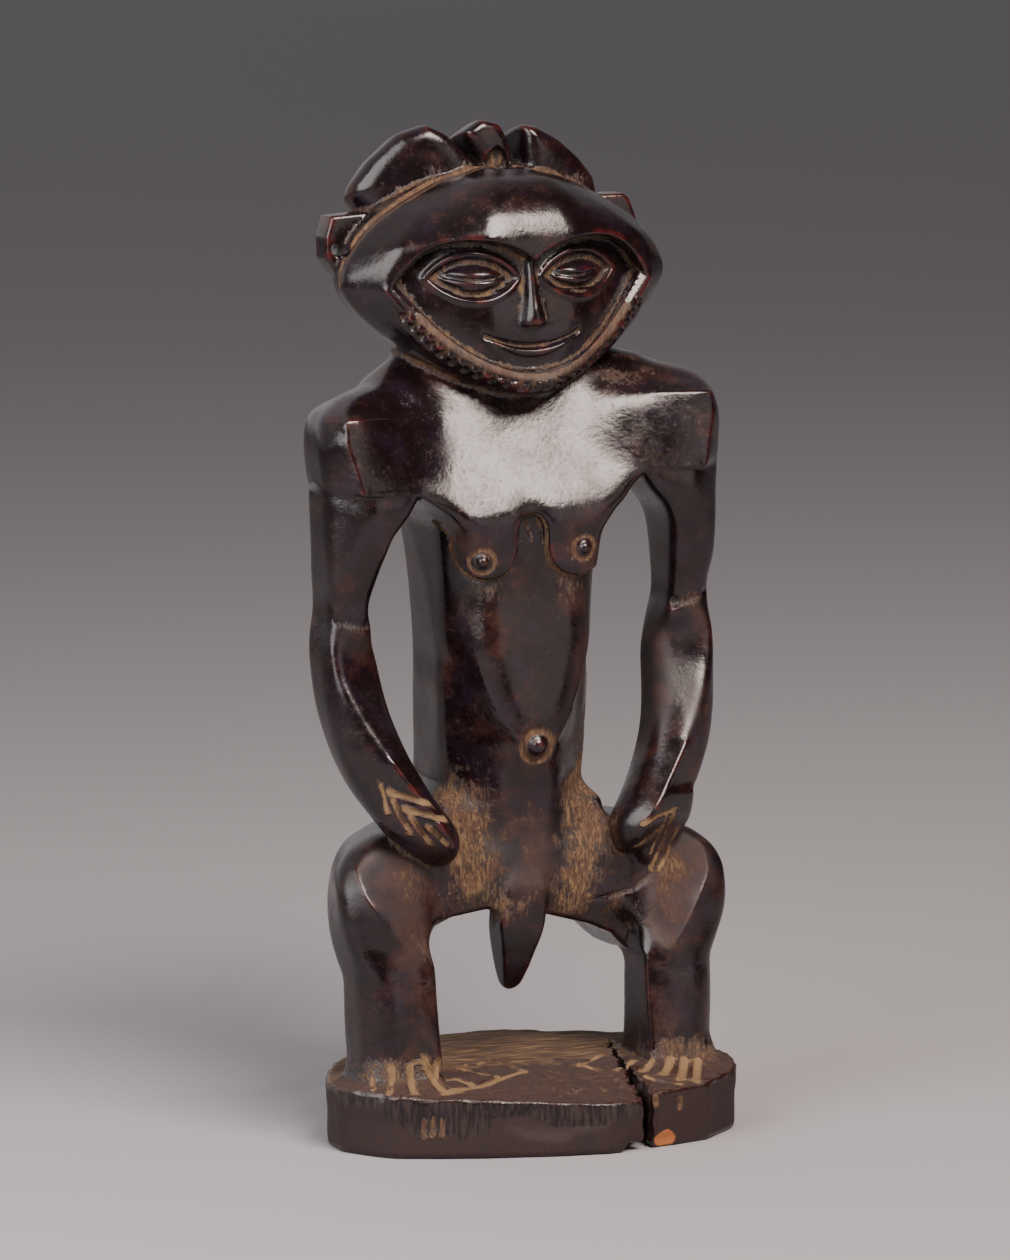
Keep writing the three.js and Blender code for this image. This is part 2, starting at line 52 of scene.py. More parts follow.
# Camera, at the photograph's angle
VIEW_AZIMUTH = 23.0                     # degrees round to the figure's right
VIEW_ELEVATION = 7.2
VIEW_DISTANCE = 1800.0                  # mm from the middle of the frame
PHOTO_HEIGHT = 1260                     # pixels
PHOTO_SCALE = 0.3245                    # mm for each photo pixel at that distance
AXIS_PIXEL = 24                         # the figure's axis stands this far right of the picture's middle
AIM_HEIGHT = 165.5                      # mm
SENSOR = 36.0


def new_object(name, data):
    made = bpy.data.objects.new(name, data)
    scene.collection.objects.link(made)
    return made


def add_camera():
    azimuth = math.radians(VIEW_AZIMUTH)
    elevation = math.radians(VIEW_ELEVATION)
    right = Vector((math.cos(azimuth), -math.sin(azimuth), 0))
    level = Vector((math.sin(azimuth), math.cos(azimuth), 0))
    look = level * math.cos(elevation) - Vector((0, 0, math.sin(elevation)))
    up = right.cross(look)
    aim = Vector((0, 0, AIM_HEIGHT)) - right * AXIS_PIXEL * PHOTO_SCALE
    data = bpy.data.cameras.new("camera")
    data.sensor_width = SENSOR
    data.lens = SENSOR * VIEW_DISTANCE / (PHOTO_SCALE * PHOTO_HEIGHT)
    camera = new_object("camera", data)
    turn = Matrix((right, up, -look)).transposed().to_4x4()
    camera.matrix_world = Matrix.Translation((aim - look * VIEW_DISTANCE) * MM) @ turn
    scene.camera = camera


# Heights, from the ground up, in mm
BASE_TOP = 19.5
ANKLE = 27
HIP_STEP = 113
ELBOW = 166
PLATE_LOW = 214.2                       # lower and upper edge of the shoulder blocks
PLATE_HIGH = 251
SHOULDER = 238.5
CHIN = 242.5
TEMPLE = 279
BAND_TOP = 313
SHOULDER_LIFT = 2.7                     # the shoulder at +X stands this much higher, the other one lower
SIDES = ((1, SHOULDER_LIFT), (-1, -SHOULDER_LIFT))
HEAD_TILT = math.radians(1.6)


def path(*knots):
    """A smooth curve through knots (t, a, b, ...), flat beyond both ends, for arrays of t."""
    table = np.array(knots, float)
    t = table[:, 0]
    values = table[:, 1:]
    span = np.diff(t)[:, None]
    rise = np.diff(values, axis=0) / span
    before, after = rise[:-1], rise[1:]
    same = before * after > 0
    slope = np.zeros_like(values)
    slope[1:-1] = np.where(same, 2 * before * after / np.where(same, before + after, 1), 0)

    def at(query):
        query = np.clip(np.atleast_1d(query), t[0], t[-1])
        i = np.clip(np.searchsorted(t, query, side="right") - 1, 0, len(t) - 2)
        u = ((query - t[i]) / span[i, 0])[:, None]
        p, q = values[i], values[i + 1]
        m, n = slope[i] * span[i], slope[i + 1] * span[i]
        return p + u * m + u * u * (3 * (q - p) - 2 * m - n) + u ** 3 * (2 * (p - q) + m + n)
    return at


def bump(value, width):
    return np.exp(-(value / width) ** 2)


def smooth_step(value, low, high):
    u = np.clip((value - low) / (high - low), 0, 1)
    return u * u * (3 - 2 * u)


def smooth_min(a, b, k):
    """The lower of two fields, with a fillet about k mm wide."""
    h = np.clip(0.5 + 0.5 * (b - a) / k, 0, 1)
    return b + (a - b) * h - k * h * (1 - h)


def smooth_max(a, b, k):
    """The higher of two fields, with a rounding about k mm wide."""
    return -smooth_min(-a, -b, k)


class Window:
    """A box of the sample grid, with its coordinates shaped to broadcast."""

    def __init__(self, low, high):
        first = np.maximum(np.floor((np.array(low) - GRID_LOW) / VOXEL).astype(int), 0)
        last = np.minimum(np.ceil((np.array(high) - GRID_LOW) / VOXEL).astype(int) + 1, GRID_SHAPE)
        self.place = tuple(slice(a, b) for a, b in zip(first, last))
        axes = [GRID_LOW[i] + VOXEL * np.arange(first[i], last[i], dtype=np.float32) for i in range(3)]
        self.x, self.y, self.z = np.ix_(*axes)
        self.levels = axes[2]


GRID_LOW = np.array([-77.0, -53.0, -3.0])
GRID_HIGH = np.array([77.0, 67.0, 335.0])
GRID_SHAPE = np.ceil((GRID_HIGH - GRID_LOW) / VOXEL).astype(int) + 1
field = np.full(GRID_SHAPE, FAR, np.float32)


def add(window, body, k):
    field[window.place] = smooth_min(field[window.place], body.astype(np.float32), k)


def cut(window, body, k):
    field[window.place] = smooth_max(field[window.place], -body.astype(np.float32), k)


def hull(u, v, circles, sides=56, index=slice(None)):
    """Distance to the outline round worn edges, one row of circles (u, v, r) for each level.

    The levels lie on the last axis, unless index says which one each sample has.
    """
    def side(i):
        angle = 2 * math.pi * i / sides
        nu = math.cos(angle)
        nv = math.sin(angle)
        reach = (circles[:, :, 0] * nu + circles[:, :, 1] * nv + circles[:, :, 2]).max(axis=1)
        return u * nu + v * nv - reach.astype(np.float32)[index]
    return reduce(np.maximum, (side(i) for i in range(sides)))


def steepened(distance):
    """Turns a distance measured within each level into one in space, where the sides slope."""
    slope = np.gradient(distance, VOXEL, axis=2)
    return distance / np.sqrt(1 + slope * slope)


def behind(window, front):
    """Distance to the solid behind a sheet, from where the sheet lies for each x and z."""
    slope_x, slope_z = np.gradient(front, VOXEL, axis=(0, 2))
    return (front - window.y) / np.sqrt(1 + slope_x ** 2 + slope_z ** 2)


def soften(values, reach):
    """Averages over neighbours, two passes along every axis longer than one sample."""
    count = max(1, int(round(reach / VOXEL)))
    for axis in np.flatnonzero(np.array(values.shape) > 1):
        for _ in range(2):
            total = values.copy()
            for step in range(1, count + 1):
                total += np.roll(values, -step, axis) + np.roll(values, step, axis)
            values = total / (2 * count + 1)
    return values


def eased(window, sharp, reach, *lines, width=2.2):
    """Rounds a body off by hand, except along the given lines, which stay crisp."""
    soft = soften(sharp, reach)
    if not lines:
        return soft
    near = reduce(np.minimum, (stroke(window, line, 0) for line in lines))
    return soft + (sharp - soft) * bump(near, width)


def cap(distance, height, low, high, wear):
    return smooth_max(distance, np.maximum(low - height, height - high), wear)


def loft(window, circles, low, high, wear, side=1):
    """A body round worn edges, between a low and a high end."""
    return cap(steepened(hull(side * window.x, window.y, circles)), window.z, low, high, wear)


def one_side(edges, z):
    return np.stack([edge(z) for edge in edges.values()], axis=1)


def both_sides(edges, z):
    right = one_side(edges, z)
    return np.concatenate([right, right * (-1, 1, 1)], axis=1)


def bar(values):
    """The four worn edges of a bar, from rows of middle x and y, half width, half depth and wear."""
    x, y, half_width, half_depth, wear = values.T
    dx = half_width - wear
    dy = half_depth - wear
    corners = [(x + dx, y - dy), (x + dx, y + dy), (x - dx, y + dy), (x - dx, y - dy)]
    return np.stack([np.stack([cx, cy, wear], axis=1) for cx, cy in corners], axis=1)


def segment(p, a, b):
    """How far along a segment the points nearest to p lie, 0 to 1, and their squared distance from p.

    p is one array for each coordinate.
    """
    run = [end - start for start, end in zip(a, b)]
    away = [axis - start for axis, start in zip(p, a)]
    along = sum(q * r for q, r in zip(away, run)) / max(sum(r * r for r in run), 1e-9)
    along = np.clip(along, 0, 1)
    return along, sum((q - along * r) ** 2 for q, r in zip(away, run))


def stroke(window, points, radii):
    """Distance to a round stroke through points, its radius changing evenly between them."""
    def piece(a, b, start, end):
        along, gap = segment((window.x, window.y, window.z), a, b)
        return np.sqrt(gap) - (start + (end - start) * along)
    radii = np.broadcast_to(radii, len(points))
    return reduce(np.minimum, map(piece, points[:-1], points[1:], radii[:-1], radii[1:]))


def beside(side, x, y, z):
    """The window between two values of x, y and z, at +X (side 1) or mirrored to -X (side -1)."""

    left, right = sorted((side * x[0], side * x[1]))
    return Window((left, y[0], z[0]), (right, y[1], z[1]))


def around(points, margin):
    return Window(np.min(points, axis=0) - margin, np.max(points, axis=0) + margin)


def open_distance(u, v, corners):
    """Distance in a plane to an open line through corners."""
    return np.sqrt(reduce(np.minimum, (segment((u, v), a, b)[1] for a, b in zip(corners, corners[1:]))))


def polygon(u, v, corners):
    """Signed distance in a plane to a closed outline, negative inside."""
    closed = corners + corners[:1]
    inside = np.zeros(np.broadcast(u, v).shape, bool)
    for (ax, ay), (bx, by) in zip(closed, closed[1:]):
        if ay != by:
            inside ^= ((ay > v) != (by > v)) & (u < ax + (v - ay) * (bx - ax) / (by - ay))
    return np.where(inside, -1, 1) * open_distance(u, v, closed)


def bezier(start, *curves, steps=10):
    """Corners of an outline: a start and cubic curves of three points each."""
    corners = [start]
    for c1, c2, end in curves:
        p = [np.array(q, float) for q in (corners[-1], c1, c2, end)]
        for i in range(1, steps + 1):
            t = i / steps
            q = (1 - t) ** 3 * p[0] + 3 * t * (1 - t) ** 2 * p[1] + 3 * t * t * (1 - t) * p[2] + t ** 3 * p[3]
            corners.append(tuple(q))
    return corners


# Base
BASE_CORNERS = [
    (59, -19, 6), (66, -2, 6), (62, 12, 9), (46, 29, 14), (8, 41, 20), (-28, 35, 20), (-50, 22, 11),
    (-62, 3, 7), (-61, -5, 8), (-52, -17, 8), (-28, -28, 7), (10, -37, 7), (24, -36, 6), (45, -31, 6),
]
BASE_EDGE = path((-62, 1.5), (-30, 1.4), (8, -1), (23, -0.8), (29, 1), (60, 1))
BASE_SLOPE = 0.042                      # the top rises towards the back


def base_side(window):
    """Distance to the base's outline."""
    circles = np.repeat(np.array([BASE_CORNERS], float), len(window.levels), axis=0)
    return hull(window.x, window.y, circles, 72)


def make_base():
    window = Window((-77, -53, -3), (77, 67, 30))
    side = base_side(window)
    rise = BASE_EDGE(window.x.ravel())[:, 0][:, None, None] * smooth_step(window.y, 25, -12)
    dome = 3 * smooth_step(-side, 0, 26)
    top = BASE_TOP + rise + BASE_SLOPE * window.y + dome
    body = smooth_max(smooth_max(side, window.z - top, 1.2), -window.z, 0.8)
    add(window, soften(body, 0.9), 0.1)


# Legs and hips. A worn edge has rows of height, x, y and radius. A bar, such as FOOT, PENIS, ARM and NECK,
# has rows of height, the middle's x and y, half width, half depth and wear.
LEG = {
    "outer_front": path((24, 50.9, -5, 11), (45, 51.6, -3.8, 11), (56, 52, -2, 11), (64, 52, 1, 10)),
    "outer_back": path((24, 55.9, 2.4, 6.5), (45, 56.9, 2.6, 6.5), (64, 57, 3, 6.5)),
    "inner_back": path((24, 41.7, 2.4, 6.5), (45, 42.3, 2.8, 6.5), (64, 42.4, 3, 6.5)),
    "inner_front": path(
        (24, 38.8, -12.2, 3.6), (40, 39, -10.6, 3.2), (50, 39.2, -9.2, 3), (58, 39.6, -8, 3),
        (64, 40, -4, 3)),
}
FOOT = path(
    (BASE_TOP - 3, 48, -3, 22, 24, 15), (BASE_TOP - 0.5, 48, -3.2, 19.5, 21.5, 14),
    (BASE_TOP + 2, 48.6, -3.4, 16.3, 16.6, 11), (ANKLE, 49, -3.5, 12.6, 11.4, 7),
)
THIGH = {
    "outer_front": path(
        (50, 51.6, -2.6, 10), (55, 53.4, -4, 9), (60, 56.3, -5, 7), (68, 60.6, -4, 5), (77, 62.2, -2.5, 5),
        (84, 62.4, -0.5, 5), (90, 60.6, 3, 5), (96, 55.2, 6.5, 5), (101, 47, 8, 5)),
    "outer_back": path(
        (50, 56, 2.4, 6.2), (60, 58.4, 5, 6.5), (68, 59.4, 9, 6.5), (77, 57.9, 16, 6.5), (84, 54.4, 21, 7),
        (90, 51.5, 24, 7), (96, 46, 27, 7), (101, 36, 30, 7)),
    "inner_back": path((50, 43, 3, 6), (66, 42, 9, 6), (77, 34, 30, 7), (90, 28, 36, 8), (101, 24, 36, 8)),
    "inner_front": path(
        (50, 40, -8.6, 2.6), (60, 40.5, -7.6, 3.4), (66, 40, -5, 3), (70, 37.5, -2.5, 3), (80, 31, 2, 3),
        (90, 28, 3, 4), (101, 26, 7, 4)),
    "arris": path(
        (50, 42, -8, 3), (53.5, 42, -9.4, 2), (54.8, 42.4, -12.6, 0.8), (66, 50, -12.3, 0.8),
        (77.5, 57, -10.6, 0.8), (85, 60.8, -7, 0.8), (91, 61.4, -2.2, 0.8), (96, 55, 3, 2.5),
        (101, 46, 7, 4)),
}
WIDE_KNEE = path((54, 0), (70, 2.3), (88, 2.3), (99, 0))
HIP = {
    "front": path(
        (56, 33, 9, 6), (80, 31, 5, 6), (92, 28, 5.5, 5), (97, 26, 7, 4), (107, 26, 9, 4),
        (HIP_STEP, 22, 15, 3.5)),
    "back": path((56, 32, 30, 8), (75, 30, 38, 8), (92, 29, 42, 9), (106, 24, 42, 8), (HIP_STEP, 19, 41, 7)),
}
GROIN = path((66, 3, 11, 5), (80, 4, 7, 5.5), (95, 4.5, 5.5, 5.5), (107, 5.5, 4, 5), (119, 6, 3, 5))
ARCH = [
    (36.4, 22.5), (36.4, 57), (31, 63), (22, 67), (6, 71.6), (-15, 74.4), (-27, 72.6), (-33, 70), (-36.4, 64),
    (-36.4, 22.5),
]
PENIS = path(
    (46.5, -4.4, 6.6, 2, 2.2, 1.2), (49, -4.2, 6.2, 3, 3.4, 1.4), (57, -3.6, 5, 5.4, 5.2, 1.8),
    (70, -2.8, 3.4, 7.9, 6.6, 2.2), (80, -2, 3.4, 8, 6.5, 3), (92, -1.2, 5, 4.6, 5, 3),
)


def crest_line(edge, low, high, side, out=0):
    """Points along a worn edge, from its front (out 0) to its side (out 1), where eased() keeps it crisp."""
    levels = np.arange(low, high, 3.0)
    rows = np.column_stack([levels, edge(levels)])
    return [(side * (x + out * r), y - (1 - out) * r, level) for level, x, y, r in rows]


def make_legs():
    for side in (-1, 1):
        window = beside(side, (20, 76), (-36, 56), (44, 106))
        edges = one_side(THIGH, window.levels)
        if side > 0:
            edges[:, 0, 0] += WIDE_KNEE(window.levels)[:, 0]
        arris = crest_line(THIGH["arris"], 55, 92, side)
        add(window, eased(window, loft(window, edges, 50, 101, 3, side), 1.6, arris, width=3), 2)
        window = beside(side, (20, 76), (-36, 30), (16, 70))
        add(window, loft(window, one_side(LEG, window.levels), 18, 64, 2, side), 1.2)
        window = beside(side, (20, 76), (-44, 44), (10, 36))
        foot = loft(window, bar(FOOT(window.levels)), 15, ANKLE, 2, side)
        add(window, soften(smooth_max(foot, base_side(window) + 1.2, 2), 1.5), 4)


def make_hips():
    window = Window((-50, -20, 50), (50, 62, 118))
    add(window, eased(window, loft(window, both_sides(HIP, window.levels), 56, HIP_STEP, 1.5), 1.6), 5)
    window = Window((-30, -16, 62), (30, 36, 124))
    front = GROIN(window.levels)
    back = np.broadcast_to([0, 20, 10], front.shape)
    add(window, loft(window, np.stack([front, front * (-1, 1, 1), back], axis=1), 66, 119, 4), 7)


def cut_arch():
    window = Window((-42, -50, 20), (42, 66, 80))
    above_base = BASE_TOP + 2.8 + BASE_SLOPE * window.y - window.z
    cut(window, np.maximum(polygon(window.x, window.z, ARCH), above_base), 1.5)


def make_penis():
    window = Window((-20, -12, 40), (16, 22, 98))
    add(window, loft(window, bar(PENIS(window.levels)), 46.5, 92, 2), 2)


# Body
TORSO = {
    "front": path(
        (104, 4, 9, 8), (118, 3, 4.2, 8), (124, 2.5, 1.5, 8), (131, 2.5, -0.2, 8), (137, 5, 0, 8),
        (143.5, 7.5, 0.6, 8), (152, 10, 1.6, 8), (160, 12, 2.4, 8), (180, 12.5, 4, 8), (207, 14, 4.4, 8)),
    "belly": path(
        (104, 4, 5, 3), (113, 4, 1, 2), (124, 4.2, -3.6, 1.5), (131, 6.8, -6.9, 0.8), (137, 10.6, -5.6, 0.8),
        (143.5, 14, -4, 0.8), (152, 17, -2.4, 0.8), (162, 19.2, -0.4, 0.8), (174, 20, 1.8, 0.8),
        (182, 21, 3.2, 0.8), (200, 24, 8, 2)),
    "arris": path(
        (104, 22, 13, 4), (HIP_STEP, 20, 12, 3), (118, 14, 7, 3), (129, 12, 2, 2.5), (136, 14.5, 1.5, 2.5),
        (150, 19, 6, 2.5), (160, 23.3, 10.5, 2.5), (180, 24.3, 10, 2.5), (200, 26, 9, 3), (215, 31, 8, 4)),
    "flank": path(
        (104, 24, 18, 4), (HIP_STEP, 21.3, 16, 4), (129, 20.8, 14, 5), (145, 21.4, 14, 5), (160, 22, 15, 4),
        (180, 22.5, 16, 4), (200, 25, 14, 4), (215, 30, 12, 4)),
    "back": path(
        (104, 19, 42, 7), (HIP_STEP, 17, 43, 6), (149, 16.7, 44, 6), (175, 18, 44, 6), (200, 21.8, 43.5, 6),
        (215, 27, 42, 6)),
}
CHEST = {
    "front": path(
        (178, 16.5, -1.2, 5.7), (195, 18, -2.3, 5.5), (203, 23, -2.8, 5.2), (208, 27, -1.2, 5),
        (218, 29, 3.8, 5), (228, 29, 9.6, 6), (238, 28, 15.6, 7), (248, 24, 22, 7), (254, 24, 26, 5)),
    "flank": path(
        (178, 23.8, 10, 4.2), (200, 26, 9, 4.2), (214, 31, 8, 5), (228, 34, 14, 6), (254, 28, 26, 6)),
    "back": path((178, 18, 44, 6), (203, 23, 43, 6), (226, 34, 41, 8), (244, 35, 34, 8), (254, 28, 29, 6)),
}
BREASTS = [(-60, 260), (-60, 209)] + bezier(
    (-37.6, 209),
    ((-33, 204), (-28, 200), (-26, 196)),
    ((-25, 187), (-22, 183), (-16.5, 183)),
    ((-9, 183), (-6.2, 188), (-6.2, 197)),
    ((-6.2, 206), (3.4, 206), (3.4, 197)),
    ((3.4, 188), (8, 183), (14.5, 183)),
    ((22, 183), (25, 187), (26, 194)),
    ((28, 200), (33, 206), (37.6, 211)),
) + [(60, 211), (60, 260)]
SHOULDER_BLOCK = {
    "front_corner": path(
        (PLATE_LOW, 58, -6.2, 1.4), (SHOULDER, 64, -0.4, 1.4), (243, 60, 8, 2), (PLATE_HIGH, 44, 20, 3)),
    "outer": path(
        (PLATE_LOW, 65.5, 5, 4), (230, 66.5, 6, 4), (SHOULDER, 65, 9, 4), (244, 60, 15, 5),
        (PLATE_HIGH, 44, 24, 4)),
    "outer_back": path(
        (PLATE_LOW, 61, 25, 6), (230, 61.5, 27, 6), (SHOULDER, 60, 27, 6), (245, 52, 27, 6),
        (PLATE_HIGH, 42, 28, 5)),
    "inner_back": path((PLATE_LOW, 34, 36, 8), (SHOULDER, 34, 36, 8), (PLATE_HIGH, 30, 32, 6)),
    "inner_front": path(
        (PLATE_LOW, 33, -2.4, 3), (226, 33, 2.6, 3), (SHOULDER, 33, 8.5, 3), (PLATE_HIGH, 26, 24, 4)),
}
ARM = path(
    (90, 33.5, -4, 3.6, 4, 3), (96, 36, -5.4, 8, 8, 5.5), (103, 40.5, -5.4, 11.8, 11, 7.5),
    (116.4, 49.4, -0.9, 11.6, 12.4, 7.5), (129.5, 55, 3.7, 11.2, 12.5, 7), (142.6, 57.7, 9, 10.7, 12.5, 7),
    (155.6, 58.8, 13.1, 10.2, 12, 6.5), (ELBOW, 59.7, 14.6, 8.4, 11.6, 5), (174, 60.1, 14.4, 7, 11, 4),
    (187, 59.8, 11.5, 8.2, 12.6, 4), (199, 58.6, 8.6, 10, 14, 4), (208, 55.5, 8.6, 13.6, 14.2, 4),
    (218, 53.4, 8.6, 16.6, 13, 4),
)
UPPER_ARM = path(
    (158, 63.5, 8.3, 6), (ELBOW, 63.1, 8, 5), (174, 63.1, 7.4, 4), (187, 61.8, 1.6, 2.5), (199, 59, -2.6, 2),
    (208, 57, -5, 1.6), (218, 57.5, -4, 1.6),
)
OUTER_ARM = path(
    (170, 62.5, 10, 4), (187, 64, 4, 4), (199, 64.8, 4.5, 4), (208, 65.2, 5, 4), (218, 65.6, 5, 4),
)
ARRIS = path(
    (92, 31), (105, 37), (113, 42.5), (121, 48), (131, 54.5), (142, 60.8), (155, 65.6), (ELBOW, 66.6),
)
ARRIS_WEAR = 1.8                        # of the ridge that ARRIS leads down the forearm
OUTER_FALL = 0.45                       # how fast the forearm falls back on both sides of its arris
INNER_FALL = 0.34


def forearm(middle, arris):
    """Worn edges of a forearm: its front is a roof whose ridge runs across it on the way to the hand."""
    x, y, half_width, half_depth, wear = middle.T
    outer = x + half_width
    inner = x - half_width
    front = y - half_depth
    back = y + half_depth - wear
    soft = 0.78 * wear
    outer_y = front + soft + OUTER_FALL * np.maximum(outer - arris, 0)
    inner_y = front + soft + INNER_FALL * np.maximum(arris - inner, 0)
    return np.stack([np.stack(corner, axis=1) for corner in (
        (outer - soft, np.minimum(outer_y, back), soft),
        (outer - wear, back, wear),
        (inner + wear, back, wear),
        (inner + soft, np.minimum(inner_y, back), soft),
        (arris, front + ARRIS_WEAR, np.full_like(x, ARRIS_WEAR)),
    )], axis=1)


def make_torso():
    window = Window((-42, -16, 98), (42, 60, 214))
    torso = loft(window, both_sides(TORSO, window.levels), 104, 207, 2)
    lines = [crest_line(TORSO["belly"], 128, 186, side, 0.5) for side in (-1, 1)]
    add(window, eased(window, torso, 2, *lines, width=3), 3)


# Heights and depths of the shoulder plates' fronts, straight between them
PLATE = ((200, -7.6), (PLATE_LOW, -7.6), (SHOULDER, -2.2), (243, 5.5), (PLATE_HIGH, 17), (256, 26))
SHEET_FROM = 204
SHEET_SPARE = 6                         # how far the blocks stand out before the sheet trims them


def yoke_front(window):
    """Distance to the front of chest and shoulders: one sheet that turns slowly from the one to the other."""
    z = window.z - SHOULDER_LIFT * np.clip(window.x / 40, -1, 1)
    plate = np.interp(z, *np.transpose(PLATE))
    values = CHEST["front"](z.ravel())
    chest = (values[:, 1] - values[:, 2]).reshape(z.shape)
    start = np.where(window.x < 0, 27, 11 + 11 * smooth_step(z, 234, 212))
    turn = np.clip((np.abs(window.x) - start) / (60 - start), 0, 1)
    front = chest + (plate - chest) * (turn + smooth_step(turn, 0, 1)) / 2
    return np.where(window.z > SHEET_FROM, behind(window, front), -60)


def chest_block(window):
    edges = both_sides(CHEST, window.levels)
    edges[:, [0, 1, 3, 4], 1] -= SHEET_SPARE * smooth_step(window.levels, SHEET_FROM, 212)[:, None]
    edge = polygon(window.x, window.z, BREASTS)
    limit = np.minimum(edge, np.maximum(12 - window.y, 206 - window.z))
    return smooth_max(loft(window, edges, 178, 254, 3), limit, 0.9)


def make_yoke():
    """Chest and shoulders, which run into each other as one smooth sheet."""
    window = Window((-77, -20, 172), (77, 60, 262))
    yoke = chest_block(window)
    lines = [[(x, -4, z) for x, z in BREASTS[2:-2:4]]]
    for side, lift in SIDES:
        low = PLATE_LOW + lift
        high = SHOULDER + lift
        z = window.levels - lift
        edges = one_side(SHOULDER_BLOCK, z)
        if side < 0:
            edges[:, :, 0] += (0.8 * np.minimum(0, SHOULDER - z))[:, None]
        edges[:, 0, :2] -= (0.55 * SHEET_SPARE, 0.83 * SHEET_SPARE)
        edges[:, 4, 1] -= SHEET_SPARE
        block = loft(window, edges, low, PLATE_HIGH + lift, 1, side)
        yoke = smooth_min(yoke, block, 1 + 11 * smooth_step(side * window.x, 54, 40))
        corners = ((44, 1.5, high), (64.4, -2, high), (59, -7.6, low), (33, -6.2, low))
        lines.append([(side * x, y, height) for x, y, height in corners])
    add(window, eased(window, smooth_max(yoke, yoke_front(window), 0.6), 2, *lines), 0.8)


def make_arms():
    for side, lift in SIDES:
        window = beside(side, (18, 77), (-26, 44), (84, 226))
        z = window.levels - lift * smooth_step(window.levels, ELBOW, 200)
        lower = forearm(ARM(z), ARRIS(z)[:, 0])
        lower = np.concatenate([lower, lower[:, :1]], axis=1)
        upper = bar(ARM(z))
        upper[:, 0] = UPPER_ARM(z)
        outer = np.where(z[:, None] < 170, upper[:, 0], OUTER_ARM(z))
        upper = np.concatenate([upper, upper[:, :1], outer[:, None]], axis=1)
        part = smooth_step(z, 160, 169)[:, None, None]
        body = loft(window, upper * part + lower * (1 - part), 90, 218 + lift, 3, side)
        levels = np.arange(98, 127, 4.0)
        arris = [(side * x, front - depth, level)
                 for level, x, (front, depth) in zip(levels, ARRIS(levels)[:, 0], ARM(levels)[:, [1, 3]])]
        add(window, eased(window, body, 1.6, arris), 1.2)


PALM = [(31, 101), (33.5, 95), (38, 87.5), (42.5, 85.5), (50, 90), (56, 101), (56, 112), (44, 112)]


def make_palm():
    """The hand at +X reaches further down its thigh than the other one."""
    window = Window((22, -26, 78), (66, 14, 120))
    aside = window.x - ARRIS(window.levels)[:, 0]
    roof = np.maximum(-INNER_FALL * aside, OUTER_FALL * aside)
    front = 0.36 * np.clip(104 - window.z, 0, 30) + roof - 16.2
    depth = np.maximum(front - window.y, window.y - 4)
    add(window, soften(smooth_max(polygon(window.x, window.z, PALM), depth, 2), 1), 2)


# Head
NECK = path(
    (230, 0, 27, 24, 16, 14), (240, 0, 27, 24, 16, 15), (250, 0, 29, 28, 18, 16), (262, 0, 30, 32, 20, 18),
)
HEAD = {
    "front": path(
        (CHIN, 3, 0, 6), (250, 10, 2, 8.5), (262, 13, 6, 13), (TEMPLE, 12, 9.4, 16), (290, 12, 9.6, 16),
        (299, 10, 11.3, 15), (306, 8, 15, 13.5), (311, 6, 19, 10.5), (BAND_TOP + 2, 4, 23, 5)),
    "cheek": path(
        (CHIN, 5, 5, 5), (247, 15, 8, 5), (256, 28, 11, 6), (266, 37, 13, 7), (TEMPLE, 42, 14, 7.5),
        (290, 38, 13, 8), (299, 30, 16, 7), (306, 21, 19, 6), (311, 13, 21, 5), (BAND_TOP + 2, 5, 23, 4)),
    "temple": path(
        (CHIN, 5, 9, 4), (247, 15, 14, 4), (256, 30, 18, 5), (266, 44, 21, 4), (274, 52, 21, 3),
        (TEMPLE, 54.4, 21, 2.6), (285, 52.5, 21.5, 3), (292, 47.5, 22, 3.5), (299, 39.5, 23, 4),
        (306, 28, 24, 4), (311, 17.5, 25, 4), (BAND_TOP + 2, 6, 26, 4)),
    "side": path(
        (CHIN, 6, 20, 4), (256, 26, 34, 8), (270, 40, 38, 8), (TEMPLE, 44, 39, 8), (292, 41, 40, 8),
        (303, 31, 40, 8), (311, 18, 38, 7), (BAND_TOP + 2, 8, 34, 6)),
    "back": path(
        (CHIN, 4, 30, 5), (256, 14, 42, 9), (270, 18, 50, 10), (TEMPLE, 19, 52, 10), (292, 18, 52, 10),
        (303, 15, 48, 9), (311, 10, 43, 8), (BAND_TOP + 2, 5, 36, 6)),
}
FACE_SIDE = 45
FACE_CORNER = 277.5
BROW_PEAK = 293
NOSE_ROOT = 286
JAW_LOW = 246.5
BROWS = bezier(
    (FACE_SIDE, FACE_CORNER), ((38, BROW_PEAK - 2), (30, BROW_PEAK), (21, BROW_PEAK)),
    ((12, BROW_PEAK), (5, BROW_PEAK - 3), (0, NOSE_ROOT)),
    ((-5, BROW_PEAK - 3), (-12, BROW_PEAK), (-21, BROW_PEAK)),
    ((-30, BROW_PEAK), (-38, BROW_PEAK - 2), (-FACE_SIDE, FACE_CORNER)),
)
JAW = bezier(
    (-FACE_SIDE, FACE_CORNER), ((-34, 262), (-20, JAW_LOW), (0, JAW_LOW)),
    ((20, JAW_LOW), (34, 262), (FACE_SIDE, FACE_CORNER)),
)
NOSE = path((264, 4.8, 4.4), (267, 4.4, 4.8), (274, 2.9, 3.8), (284, 2.2, 3.2), (292, 2.6, 2.6))
EYE = (18.4, 280.5)                     # x and z
SOCKET = (14.5, 7.4)                    # half width and half height
LID = (10.6, 4.3)
MOUTH = (17, 262, 257.8, 254.2)         # half width, then heights of corners, upper and lower lip


